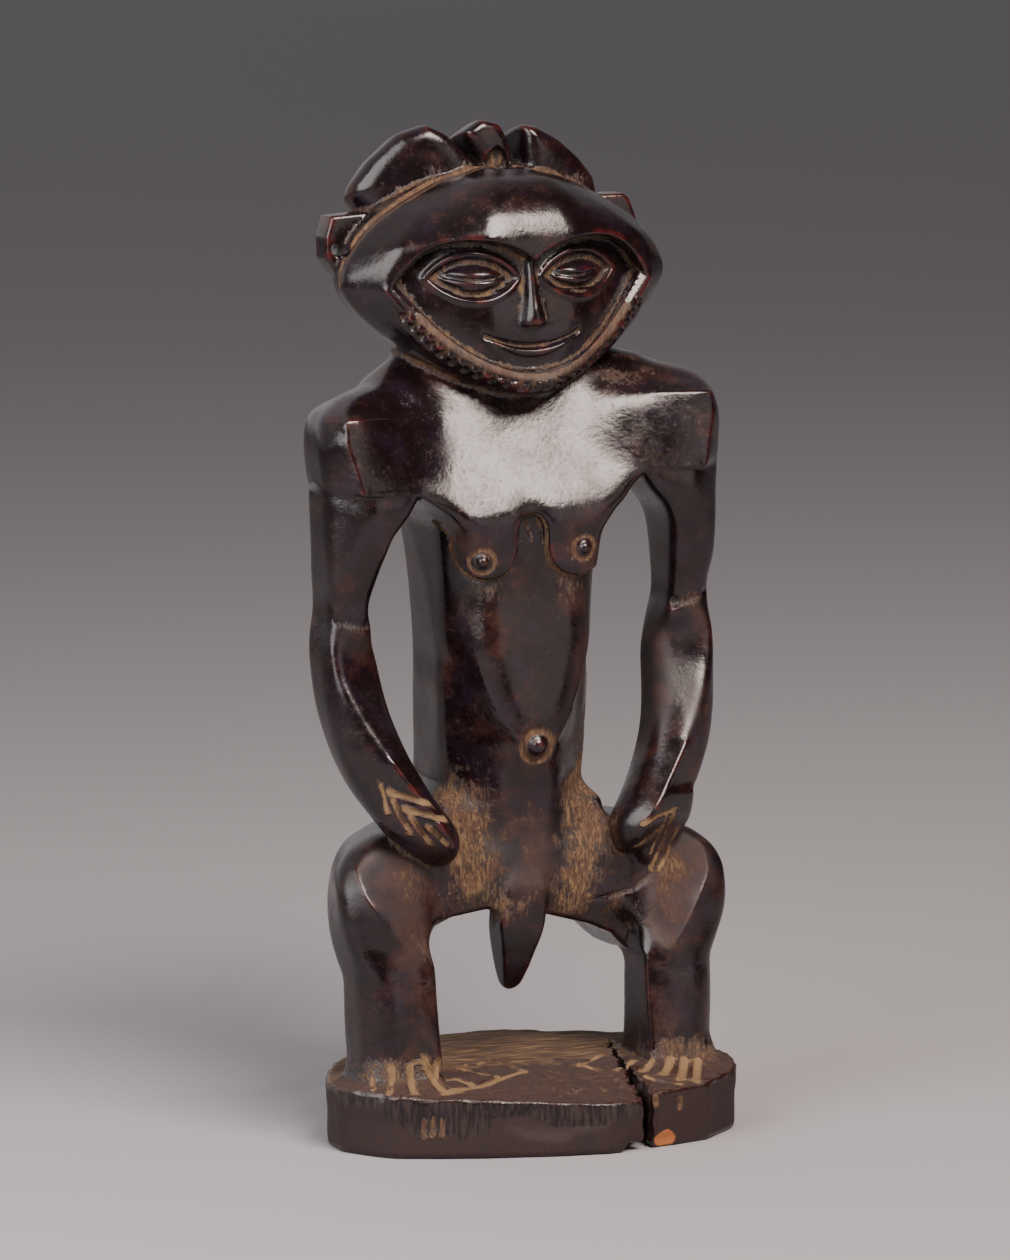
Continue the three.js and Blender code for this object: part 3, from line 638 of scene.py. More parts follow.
class HeadWindow(Window):
    """A window whose coordinates are turned with the head's tilt."""

    def __init__(self, low, high):
        super().__init__(low, high)
        x = self.x
        z = self.z - TEMPLE
        self.x = x * math.cos(HEAD_TILT) + z * math.sin(HEAD_TILT)
        self.z = z * math.cos(HEAD_TILT) - x * math.sin(HEAD_TILT) + TEMPLE


def head_block(window):
    """The head before the face is cut. Its tilted levels are looked up for each tenth of a mm."""
    levels = np.arange(CHIN - 8, BAND_TOP + 8, 0.1)
    index = np.clip(np.round((window.z - levels[0]) / 0.1).astype(int), 0, len(levels) - 1)
    distance = hull(window.x, window.y, both_sides(HEAD, levels), 72, index)
    return cap(steepened(distance), window.z, CHIN, BAND_TOP + 2, 3)


def lens(u, v, size):
    """How far inside an almond of half width size[0] and half height size[1] a point lies, in mm."""
    radius = (size[0] ** 2 + size[1] ** 2) / (2 * size[1])
    return radius - np.hypot(u, np.abs(v) + radius - size[1])


def face_depth(x, z):
    """Depth of the face below the head's front: a hollow plane under two brow arches, in a bevelled rim."""
    inside = -polygon(x, z, BROWS[:-1] + JAW[:-1])
    plane = 5 + 2.4 * smooth_step(z, 266, 290) - 0.6 * smooth_step(z, 262, 250)
    eye_x = np.abs(x) - EYE[0]
    eye_z = z - EYE[1] - 0.03 * eye_x
    socket = lens(eye_x, eye_z, SOCKET)
    lid = lens(eye_x, eye_z, LID)
    plane = plane + 1.7 * smooth_step(socket, 0, 2.6) - 0.9 * bump(socket + 0.3, 0.9)
    plane = plane - 4.3 * np.sqrt(np.clip(lid / LID[1], 0, 1))
    plane = plane + 1.9 * bump(eye_z + 0.5 - 0.012 * eye_x ** 2, 0.75) * smooth_step(lid, 0, 0.8)
    width, height = NOSE(z.ravel()).T.reshape(2, *z.shape)
    plane = plane - height * np.clip(1 - (np.abs(x) / width) ** 2, 0, 1) ** 0.8 * smooth_step(z, 264, 265)
    across = np.clip(np.abs(x) / MOUTH[0], 0, 1.1) ** 2
    upper, lower = (lip + (MOUTH[1] - lip) * across for lip in MOUTH[2:])
    between = np.minimum(upper - z, z - lower)
    ends = smooth_step(np.abs(x), MOUTH[0] + 0.8, MOUTH[0] - 0.8)
    plane = plane + (1.5 * bump(z - upper - 0.3, 0.8) - 1.5 * smooth_step(between, -0.2, 1.2)) * ends
    brow_wall = smooth_step(open_distance(x, z, BROWS), 0, 1.1)
    from_jaw = open_distance(x, z, JAW)
    rim = 0.36 * smooth_step(from_jaw, 0.3, 3) + 0.64 * smooth_step(from_jaw, 2.8, 4)
    return np.where(inside > 0, plane * np.minimum(brow_wall, rim), 0), inside


def front_of(window, body):
    """Where a body's front lies, for every x and z of a window."""
    inside = body < 0
    first = np.clip(inside.argmax(axis=1), 1, None)[:, None, :]
    here = np.take_along_axis(body, first, 1)
    before = np.take_along_axis(body, first - 1, 1)
    part = np.clip(before / np.maximum(before - here, 1e-6), 0, 1)
    front = window.y.ravel()[first - 1] + VOXEL * part
    return np.where(inside.any(axis=1)[:, None, :], front, 24)


def make_neck():
    """The neck, and the hollow where the chest and shoulders rise into it, rubbed smooth."""
    window = Window((-42, -12, 216), (42, 60, 272))
    add(window, loft(window, bar(NECK(window.levels)), 228, 266, 3), 8)
    window = Window((-56, -24, 204), (56, 64, 276))
    rough = field[window.place]
    part = smooth_step(np.abs(window.x), 50, 36) * smooth_step(window.z, 212, 224)
    rough += (soften(rough, 3) - rough) * part.astype(np.float32)


def make_head():
    window = HeadWindow((-66, -20, 234), (66, 66, 322))
    head = soften(head_block(window), 1.2)
    depth, inside = face_depth(window.x, window.z)
    face = behind(window, soften(front_of(window, head), 2.5) + depth)
    add(window, np.maximum(head, np.where(inside > -0.6, face, -FAR)), 2)


LEFT_ROLL = [
    (-46.7, 306.8), (-46, 310.9), (-40, 319), (-31.2, 326.4), (-22.3, 329), (-16.3, 326.2), (-11.1, 321.3),
    (-3.5, 313.5), (-3.5, 306), (-38, 298),
]
RIGHT_ROLL = [
    (9.9, 328.6), (15.2, 327.8), (24.3, 323.5), (31.9, 317.9), (38, 311.5), (39.5, 306.6), (39, 300),
    (11, 306), (11, 316),
]
KNOB = [
    (-10.3, 326.1), (-4.4, 330.1), (2.4, 328.7), (5.4, 323.8), (7.2, 314), (8, 306), (-4, 306), (-3.6, 314.3),
]
ARCH_NICHE = [(-3.4, 313), (-2.2, 318.6), (0.9, 321.1), (4, 318.6), (5.8, 313)]
CREST = (26, 61)                        # y of its front and back
CREST_DROP = 12                         # how far it bends down towards the back


def make_crest():
    """Two rolls of hair and a knob between them, bent down towards the back."""
    window = Window((-56, 20, 286), (50, 68, 336))
    front, back = CREST
    height = window.z + CREST_DROP * np.clip((window.y - front) / (back - front), 0, 1) ** 2
    forms = ((LEFT_ROLL, 0, 0.0045, 7), (RIGHT_ROLL, 0, 0.0045, 7), (KNOB, 2, 0, 4))
    for outline, inset, bend, wear in forms:
        ends = np.maximum(front + inset - window.y, window.y - back + inset) + bend * (window.x - 4) ** 2
        add(window, soften(smooth_max(polygon(window.x, height, outline), ends, wear), 0.8), 0.8)
    cut(window, np.maximum(polygon(window.x, window.z, ARCH_NICHE), window.y - front - 4.5), 0.5)
    cut(window, stroke(window, [(-0.2, 33, 332), (-0.4, 37, 322)], 1.3), 0.4)


EARS = (
    [(-42, 301.5), (-54.8, 300.7), (-57, 294), (-57, 287), (-53.6, 281.8), (-50, 278.3), (-42, 280)],
    [(40, 303.5), (49, 303.5), (51, 301.8), (54, 293), (54, 285), (49, 280), (40, 281)],
)
EAR_HOLES = ((-53, 290), (51, 290))


def make_ears():
    window = HeadWindow((-66, 24, 270), (62, 52, 312))
    for outline in EARS:
        side = polygon(window.x, window.z, outline)
        add(window, smooth_max(side, np.abs(window.y - 38) - 5.6, 1.8), 1.2)
    for x, z in EAR_HOLES:
        cut(window, np.hypot(window.x - x, window.z - z) - 2.3, 0.5)


# Cuts that follow the surface
FRONT = np.array([0.0, 1.0, 0.0])
TOP = np.array([0.0, 0.0, -1.0])
dusty = []                              # (points, half width, strength) of the cuts that hold dust
rng = np.random.default_rng(7)


def sample(points, grid=field):
    """Values of a grid at points in mm, straight between samples."""
    place = (points - GRID_LOW) / VOXEL
    low = np.clip(np.floor(place).astype(int), 0, GRID_SHAPE - 2)
    part = np.clip(place - low, 0, 1)
    total = 0
    for corner in np.ndindex(2, 2, 2):
        weight = np.prod(np.where(np.array(corner) == 1, part, 1 - part), axis=1)
        total = total + weight * grid[tuple((low + corner).T)]
    return total


def from_front(points):
    """Points (x, z) seen from the front, set before the figure."""
    return np.array([(x, -50.0, z) for x, z in points])


def from_top(points):
    """Points (x, y) seen from above, set over the base."""
    return np.array([(x, y, 40.0) for x, y in points])


def finely(points, step=1.4):
    """The same open line with a point at least every step mm."""
    points = np.asarray(points, float)
    line = [points[0]]
    for a, b in zip(points[:-1], points[1:]):
        count = max(1, int(np.ceil(np.linalg.norm(b - a) / step)))
        line += [a + (b - a) * i / count for i in range(1, count + 1)]
    return np.array(line)


def land(points, ways):
    """Moves points along one way, or each along its own, until they lie on the surface."""
    step = 0.3
    reach = np.arange(0, 130, step)
    trail = points[:, None] + reach[:, None] * np.broadcast_to(ways, points.shape)[:, None]
    values = sample(trail.reshape(-1, 3)).reshape(len(points), -1)
    first = np.maximum((values < 0).argmax(axis=1), 1)
    rows = np.arange(len(points))
    before = values[rows, first - 1]
    after = values[rows, first]
    part = np.clip(before / np.maximum(before - after, 1e-6), 0, 1)
    return points + (reach[first - 1] + step * part)[:, None] * ways


def groove(line, ways, width, depth, k=0.35, taper=0.0):
    """Cuts a round groove along a line on the surface, shallower at its ends where it tapers."""
    radius = (width ** 2 / 4 + depth ** 2) / (2 * depth)
    radii = np.full(len(line), radius)
    if len(line) > 2:
        run = np.linspace(0, 1, len(line))
        radii -= taper * depth * (1 - smooth_step(np.minimum(run, 1 - run), 0, 0.3))
    middle = line - ways * (radius - depth)
    window = around(middle, radius + 1.5)
    cut(window, stroke(window, middle, radii), k)


def engrave(points, width, depth, dust=0.0, taper=0.7, way=FRONT):
    """A groove through points (x, z) seen from the front or, where the way is TOP, (x, y) seen from above."""
    line = land(finely(from_top(points) if way is TOP else from_front(points)), way)
    groove(line, way, width, depth, taper=taper)
    if dust:
        dusty.append((line, width / 2, dust))


def ring(x, z, radius, count=20):
    turns = np.linspace(0, 2 * math.pi, count + 1)
    return [(x + radius * math.cos(t), z + radius * math.sin(t)) for t in turns]


def on_front(points):
    return land(from_front(points), FRONT)


def boss(x, z, radius, height):
    """A small knob on the front."""
    centre = on_front([(x, z)])[0] + FRONT * (radius - height)
    window = around([centre], radius + 3)
    add(window, stroke(window, [centre, centre], radius), 0.5)


NAVEL = (0, 128.6)
NIPPLES = ((-18.9, 189.2), (16.3, 192.5))


def carve_body():
    engrave(BREASTS[3:-3], 2, 0.8, 0.6, 0)
    for x, z in NIPPLES:
        engrave(ring(x, z, 3.9), 1.8, 0.6, 0.55, 0)
        boss(x, z, 2.1, 1.5)
    engrave(ring(*NAVEL, 5.2), 3.2, 1.3, 0.6, 0)
    boss(*NAVEL, 3.3, 1.9)
    engrave([(16.7, 74.7), (27, 75.8), (36, 78.8), (42, 84), (47, 91)], 1.8, 0.6, 0.12)
    engrave([(-66, 171.4), (-61, 170.2), (-55, 169.4), (-51, 169.2)], 3.4, 0.6)
    engrave([(66, 174.6), (61, 173), (56, 172), (51, 171.6)], 3, 0.5)


FINGERS = (                             # lines, width and depth
    ([(-52.6, 116.7), (-47.2, 115.2), (-40.6, 112.9)], 2.4, 1.1),
    ([(-48.3, 111.3), (-42.1, 109.7), (-34.9, 107.4)], 2.4, 1.1),
    ([(-51.6, 114.2), (-49.1, 108.6), (-45.8, 103)], 2, 1),
    ([(-46.4, 108.9), (-43.5, 104.2), (-39.7, 99.9)], 2.2, 1.1),
    ([(-41.2, 105.4), (-37.9, 102.3), (-35, 99.5)], 2.2, 1.1),
    ([(-54.9, 119.3), (-53.8, 114.7), (-52.8, 110)], 1.5, 0.6),
    ([(33.6, 101.9), (39.4, 104.2), (46.9, 105.6)], 2, 0.9),
    ([(46.6, 105), (45.6, 94.5), (41.7, 84.9)], 2.2, 1.1),
    ([(43.2, 99.6), (37.9, 96.8), (33.6, 93.8)], 2, 1),
    ([(50.5, 97.4), (48.6, 90.6), (44.4, 84.5)], 1.5, 0.8),
    ([(43.4, 104), (42.6, 97), (40.2, 90.5)], 1.4, 0.8),
)


TOES = (                                # lines and width
    ([(-60.6, -13.8), (-61.3, -16.4)], 2.1),
    ([(-54.5, -15.7), (-57.6, -21)], 2.6),
    ([(-48.5, -16.2), (-49.6, -23)], 2.9),
    ([(-43.4, -15.9), (-40.7, -17.4), (-39.4, -25)], 3.1),
    ([(-40.4, -16.4), (-31.8, -13.5), (-27, -22)], 3),
    ([(-39.5, -24.6), (-23.8, -19.8), (-5.9, -10.4)], 3),
    ([(-18.5, 14.5), (-9.3, 10.8), (-5.8, 2.5), (-5.6, -10.4)], 2.6),
    ([(-23.9, 2.4), (-20.1, -6.5), (-16.8, -15.7)], 2.9),
    ([(-20.5, 5.3), (-13.2, 6.9)], 2.1),
    ([(15.3, -6.5), (21, -1), (27, 3.6)], 2.9),
    ([(16.4, -7), (19.9, -12), (23.3, -17.2)], 2.6),
    ([(25.6, -17), (33.5, -9.4)], 3.1),
    ([(30, -23.5), (36.6, -16.6)], 3.1),
    ([(36.2, -26.9), (42.8, -18.1)], 3.4),
    ([(40.1, -31.9), (47.6, -18.6)], 3.4),
    ([(44.4, -34.5), (52.4, -18.8)], 3.1),
    ([(29.3, -28.1), (38.4, -36.4)], 2.1),
)
# The crack through the base: x, y, half width and the height of its floor, from the front to its end
CRACK = (
    (24.3, -54, 1.9, -4), (24.4, -38, 1.7, -4), (25.6, -28, 1.3, 6), (27.2, -17, 1, 10),
    (30.7, -4.5, 0.8, 14), (35.4, 12.2, 0.6, 17), (39, 22, 0.3, 20),
)
# The missing lower edge beside the crack, as x and z
BREAK = [(13.4, -3), (14.6, 0.8), (16.4, 3.4), (18.5, 4), (21, 3.2), (23.4, 3.6), (26, 1), (26, -3)]
GOUGES = ((-54, 12.8, 7), (-51.1, 13, 7.8), (-48, 12.8, 7.8))  # x, top and bottom
FACET = np.array([0.25, 0.968, 0.0])    # into the front left side of the base
FRESH = (30.6, -41.6, 2.6)              # middle of the fresh chip


def carve_feet_and_hands():
    for points, width, depth in FINGERS:
        engrave(points, width, depth, 0.8, 0.95)
    for points, width in TOES:
        engrave(points, width, 1.25, 0.85, 0.8, TOP)


def cut_crack():
    window = Window((8, -53, -3), (46, 30, 30))
    crooked = np.sin(window.y * 1.3) * 0.35 + np.sin(window.y * 0.47 + 1) * 0.5
    crooked = crooked + np.sin(window.z * 0.9) * 0.25

    def piece(a, b):
        along, gap = segment((window.x + crooked, window.y), a[:2], b[:2])
        radius, floor = (p + (q - p) * along for p, q in zip(a[2:], b[2:]))
        return np.maximum(np.sqrt(gap) - radius, floor - window.z)
    cut(window, reduce(np.minimum, map(piece, CRACK, CRACK[1:])), 0.3)


def carve_base():
    cut_crack()
    window = Window((8, -53, -3), (30, -28, 10))
    torn = polygon(window.x, window.z + 0.5 * np.sin(window.y), BREAK)
    cut(window, np.maximum(torn, window.y + 36 - 0.3 * window.x), 0.4)
    engrave([(27.6, 1.5), (33.5, 1.6)], 6.5, 0.8, 0, 0.2)
    engrave([(-25.5, 12.6), (-10, 10.8), (-2, 12.4)], 8, 0.5, 0, 0.9)
    engrave([(-3, 13.4), (8, 13.2)], 7, 0.4, 0, 0.9)
    for x, high, low in GOUGES:
        engrave([(x, high), (x - 0.2, low)], 1.9, 0.7, 0.6, 0.6, FACET)
    for x in np.arange(-60, 2, 1.45):
        long = 5 + 4.5 * rng.random() if x < -37 else 1.5 + 2.5 * rng.random()
        top = 16.8 - 0.6 * rng.random()
        engrave([(x, top), (x + rng.uniform(-0.6, 0.6), top - long)], 1.7, 0.28, 0, 0.9, FACET)
    for x, z in ((26.9, 15.4), (36.4, 13.4)):
        engrave([(x, z + 1.6), (x, z - 1.2)], 2.2, 0.7, 0.6)
    for _ in range(26):
        x = rng.uniform(-4, 24)
        y = rng.uniform(-34, -12)
        engrave([(x, y), (x + rng.uniform(-5, 5), y + rng.uniform(-3, 3))], 1.8, 0.7, 0.3, 0.9, TOP)


RIM = [
    (-54.5, 277.7), (-49.6, 291), (-37.8, 302), (-22.4, 309), (-1.7, 312), (15.7, 311.4), (33.4, 305.5),
    (47.4, 295), (54.8, 284),
]


def towards_axis(points, y):
    """Points outside the head at a depth y, with the way in for each."""
    start = np.array([(x, y, z) for x, z in finely(points)])
    way = (0, y, 268) - start
    way /= np.linalg.norm(way, axis=1, keepdims=True)
    return start - 6 * way, way


BEARD_STEP = 4.2                        # between notches


def tilted(points, grow):
    """Points (x, z) of the level face, grown away from its middle and turned with the head."""
    away = np.array(points) - (0, TEMPLE)
    away *= 1 + grow / np.maximum(np.linalg.norm(away, axis=1, keepdims=True), 1)
    c = math.cos(HEAD_TILT)
    s = math.sin(HEAD_TILT)
    return away @ [(c, s), (-s, c)] + (0, TEMPLE)


def carve_head():
    for y, width, depth, dust in ((25.5, 3.6, 1.5, 0.6), (21.6, 1.2, 0.4, 0.35)):
        start, ways = towards_axis(RIM, y)
        line = land(start, ways)
        groove(line, ways, width, depth, 0.4)
        dusty.append((line, width / 2 + 0.5, dust))
    edge = on_front(tilted(JAW, 0.7))
    window = around(edge, 4)
    add(window, stroke(window, edge + FRONT * 0.7, 1.35), 0.8)
    dusty.append((on_front(tilted(JAW[2:-2], -1.7)), 1.5, 0.42))
    outline = np.array(JAW)
    length = np.concatenate([[0], np.cumsum(np.linalg.norm(np.diff(outline, axis=0), axis=1))])
    for place in np.arange(9, length[-1] - 8, BEARD_STEP):
        here, ahead = (np.array([np.interp(p, length, axis) for axis in outline.T])
                       for p in (place, place + 1))
        along = ahead - here
        out = np.array([along[1], -along[0]]) / np.linalg.norm(along)
        nick = on_front(tilted([here + out * d for d in (0.5, 2.6)], 0))
        window = around(nick, 4)
        cut(window, stroke(window, nick + [(0, -0.5, 0), (0, -0.2, 0)], (0.8, 1.25)), 0.3)
        dusty.append((nick, 0.9, 0.45))


def wobble(window, size, seed, stretch=1):
    """Smooth noise about size mm across, longer by stretch along x, between -1 and 1."""
    axes = [np.ravel(axis) / size for axis in (window.x / stretch, window.y, window.z)]
    cells = [int(axis[-1] - axis[0]) + 4 for axis in axes]
    values = np.random.default_rng(seed).uniform(-1, 1, cells).astype(np.float32)
    for i, axis in enumerate(axes):
        place = axis - axis[0] + 1
        low = np.floor(place).astype(int)
        part = (place - low).astype(np.float32)
        weights = ((1 - part) ** 3, 3 * part ** 3 - 6 * part ** 2 + 4,
                   -3 * part ** 3 + 3 * part ** 2 + 3 * part + 1, part ** 3)
        shape = [1, 1, 1]
        shape[i] = len(place)
        values = sum(
            np.take(values, np.clip(low - 1 + j, 0, cells[i] - 1), axis=i) * (weight / 6).reshape(shape)
            for j, weight in enumerate(weights)
        )
    return values * 2


def roughen():
    """The slight unevenness of hand work, stronger on the raw top of the base."""
    whole = Window(GRID_LOW, GRID_HIGH)
    field[whole.place] += 0.16 * wobble(whole, 7.5, 1)
    window = Window((-74, -50, 15), (74, 66, 27))
    rough = 0.42 * wobble(window, 1.5, 2, 5) + 0.5 * wobble(window, 3.4, 3, 5)
    part = smooth_step(window.z, 17.5, 19.5) * smooth_step(window.z, 26, 23)
    from_feet = np.hypot(np.abs(window.x) - 49, window.y + 3)
    field[window.place] += (rough * part * smooth_step(from_feet, 15, 22)).astype(np.float32)


for step in (
    add_camera, make_base, make_legs, make_hips, cut_arch, make_penis, make_torso, make_yoke, make_arms,
    make_palm, make_neck, make_head, make_crest, make_ears, roughen,
    carve_body, carve_feet_and_hands, carve_base, carve_head,
):
    step()


# Mesh
def normals_at(points):
    slope = np.stack([sample(points + step) - sample(points - step) for step in VOXEL * np.eye(3)], axis=1)
    return slope / np.maximum(np.linalg.norm(slope, axis=1, keepdims=True), 1e-9)


def make_mesh():
    grid = openvdb.FloatGrid(FAR)
    grid.copyFromArray(np.clip(field, -FAR, FAR))
    points, triangles, quads = grid.convertToPolygons(isovalue=0.0, adaptivity=0.0)
    points = points * VOXEL + GRID_LOW
    mesh = bpy.data.meshes.new("carving")
    mesh.from_pydata((points * MM).tolist(), [], triangles.tolist() + quads.tolist())
    carving = new_object("carving", mesh)
    thin = carving.modifiers.new("thin", "DECIMATE")
    thin.ratio = min(1, TRIANGLES / (len(triangles) + 2 * len(quads)))
    whole = carving.evaluated_get(bpy.context.evaluated_depsgraph_get())
    thinned = bpy.data.meshes.new_from_object(whole)
    carving.modifiers.clear()
    carving.data = thinned
    thinned.name = "carving"
    bpy.data.meshes.remove(mesh)
    thinned.polygons.foreach_set("use_smooth", [True] * len(thinned.polygons))
    return carving


carving = make_mesh()
vertices = np.empty(len(carving.data.vertices) * 3)
carving.data.vertices.foreach_get("co", vertices)
vertices = vertices.reshape(-1, 3) / MM
carving.data.normals_split_custom_set_from_vertices(normals_at(vertices).tolist())


# Marks of use, one number for each vertex
def blobs(points, table):
    """The strongest of soft round patches (x, y, z, rx, ry, rz, strength) at each point."""
    best = np.zeros(len(points))
    for x, y, z, rx, ry, rz, strength in table:
        far = ((points - (x, y, z)) / (rx, ry, rz)) ** 2
        best = np.maximum(best, strength * np.exp(-far.sum(axis=1)))
    return best


def along_cuts(points):
    """The strongest dust of the cuts near each point."""
    best = np.zeros(len(points))
    for line, width, strength in dusty:
        reach = 1.05 * width + 0.2
        near = ((points > line.min(axis=0) - reach) & (points < line.max(axis=0) + reach)).all(axis=1)
        near = np.flatnonzero(near)
        gap = reduce(np.minimum, (segment(points[near].T, a, b)[1] for a, b in zip(line, line[1:])))
        best[near] = np.maximum(best[near], strength * smooth_step(np.sqrt(gap), reach, 0.8 * width))
    return best


# Patches of dust, of dull brown and of darker, glossier colour: x, y, z, the reach along each of them,
# strength
DUST = (
    (-21, 4, 92, 13, 16, 26, 0.95), (-26, 8, 112, 12, 10, 8, 0.85), (-13, 4, 76, 11, 18, 10, 0.75),
    (20, 4, 98, 11, 14, 24, 0.95), (25, 8, 116, 8, 12, 12, 1), (16, 2, 80, 11, 14, 14, 0.85),
    (22, 10, 130, 5, 12, 12, 0.6), (0, -2, 106, 9, 6, 8, 0.4), (0, -3, 92, 5, 8, 10, 0.42),
    (-2, -2, 76, 6, 7, 9, 0.5), (-44, -7, 86, 9, 11, 12, 0.6), (-40, -9, 68, 6, 9, 11, 0.5),
    (48, -7, 84, 10, 11, 12, 0.62), (44, -10, 68, 7, 9, 10, 0.45), (63, -4, 60, 5, 8, 9, 0.65),
    (30, 0, 72, 10, 12, 7, 0.5), (-30, 0, 72, 9, 12, 6, 0.5), (-60, 3, 169, 8, 8, 4, 0.56),
    (59, 3, 172, 9, 8, 4.5, 0.5), (36, 14, 246, 18, 14, 6, 0.4), (-40, 16, 240, 16, 14, 6, 0.32),
    (1, 26, 314, 13, 6, 5, 0.85), (-20, 27, 309.5, 10, 5, 5, 0.7), (-36, 27, 302, 10, 5, 6, 0.68),
    (-48, 27, 293, 6, 5, 7, 0.55), (28, 27, 309, 14, 5, 4.5, 0.6), (-53, 38, 290, 3, 8, 3, 0.9),
    (51, 38, 290, 3, 8, 3, 0.7), (-18.9, -6, 188.5, 8, 5, 8, 0.42), (16.3, -6, 191.5, 8, 5, 8, 0.42),
    (-1.5, -3, 199, 6, 5, 9, 0.58), (0, -10, 128.4, 9, 6, 9, 0.4), (-17, -3, 180, 11, 5, 5, 0.58),
    (14, -3, 180, 11, 5, 5, 0.58), (44, -14, 96, 9, 8, 13, 0.35), (-46, -14, 107, 9, 8, 9, 0.35),
    (-49, -10, 25, 20, 13, 7, 0.85), (49, -10, 25, 20, 13, 7, 0.85), (-30, 4, 22, 10, 16, 3, 0.6),
)
BROWN = (
    (-45, -10, 74, 9, 9, 18, 1), (47, -10, 74, 9, 9, 18, 1), (-49, 0, 38, 20, 30, 26, 0.4),
    (49, 0, 38, 20, 30, 26, 0.4), (20, -1, 160, 6, 12, 60, 0.6), (0, 0, 95, 40, 40, 24, 0.6),
    (-50, -6, 86, 14, 14, 14, 1), (52, -6, 86, 14, 14, 14, 1), (46, 12, 150, 8, 16, 44, 1),
    (-22, 0, 190, 8, 12, 14, 0.5), (22, 0, 190, 8, 12, 14, 0.5), (58, 0, 130, 8, 20, 30, 0.5),
    (-58, 6, 165, 10, 14, 9, 0.6), (58, 6, 165, 10, 14, 9, 0.6),
)
# Darker patches of patina. The patch on the upper arm at +X, beside the torso, is painted shade.
DARK_AND_SHADE = (
    (62, 2, 200, 16, 22, 26, 1), (54, 4, 150, 16, 22, 22, 0.6), (-62, 2, 204, 14, 22, 26, 0.7),
    (-58, 0, 140, 12, 20, 24, 0.5), (46, -8, 228, 18, 14, 16, 0.8), (-46, -8, 228, 18, 14, 16, 0.8),
    (0, 0, 280, 60, 60, 34, 0.5), (-62, -4, 78, 9, 22, 24, 0.8), (62, 0, 78, 8, 22, 24, 0.7),
    (0, -12, 66, 9, 12, 26, 0.5),
)


# Lower end of the worn dark band on the front of the base: x and height
SMEAR = (
    (-62, -56, -52, -35, -31, -27, -15, -11, -8, 7, 13, 22, 25, 27),
    (16, 12, 8, 7.4, 9, 13, 13.5, 12, 9.5, 9, 11.5, 14.5, 15, 30),
)


def set_marks(carving, points):
    """Stores how dusty, brown, dark and so on each vertex is with the mesh, for the material.

    nearby is the solid share of a vertex's surroundings: under a half on edges, over a half in hollows.
    """
    solid = np.clip(0.5 - field / (2 * VOXEL), 0, 1)
    nearby = sample(points, soften(solid, 1.4))
    x, y, z = points.T
    flat = smooth_step(normals_at(points)[:, 2], 0.45, 0.8)
    low = smooth_step(z, 30, 25)
    cuts = along_cuts(points)
    marks = {
        "dust": np.maximum(cuts, blobs(points, DUST)),
        "cuts": cuts,
        "brown": blobs(points, BROWN),
        # dark: darker patina, painted shade on the upper arm at +X beside the torso
        "dark": blobs(points, DARK_AND_SHADE),
        "worn": np.clip((0.47 - nearby) / 0.12, 0, 1),
        "hollow": np.clip((nearby - 0.515) / 0.1, 0, 1),
        "top": flat * low * smooth_step(z, 14, 17),
        "rear": smooth_step(y, -12, 14),
        # smear: the worn dark band on the base's front, and its painted grey sheen
        "smear_and_sheen": smooth_step(z - np.interp(x, *SMEAR), -0.6, 0.9) * smooth_step(-y, 2, 10) * low,
        "side": low * (1 - flat) * smooth_step(z, 23, 18),
        "fresh": blobs(points, ((*FRESH, 4.4, 5, 3.3, 1.2),)) * smooth_step(x, 25.4, 26.4),
    }
    for name, values in marks.items():
        attribute = carving.data.attributes.new(name, "FLOAT", "POINT")
        attribute.data.foreach_set("value", values.astype(np.float32))


set_marks(carving, vertices)


# Material
class Value:
    """A number or colour over the surface. Math nodes do + - *, and | for the larger one."""

    def __init__(self, nodes, socket):
        self.nodes = nodes
        self.socket = socket

    def math(self, kind, other):
        node = self.nodes.node("ShaderNodeMath")
        node.operation = kind
        self.nodes.plug(node.inputs[0], self)
        self.nodes.plug(node.inputs[1], other)
        return Value(self.nodes, node.outputs[0])

    __add__ = partialmethod(math, "ADD")
    __sub__ = partialmethod(math, "SUBTRACT")
    __mul__ = partialmethod(math, "MULTIPLY")
    __or__ = partialmethod(math, "MAXIMUM")


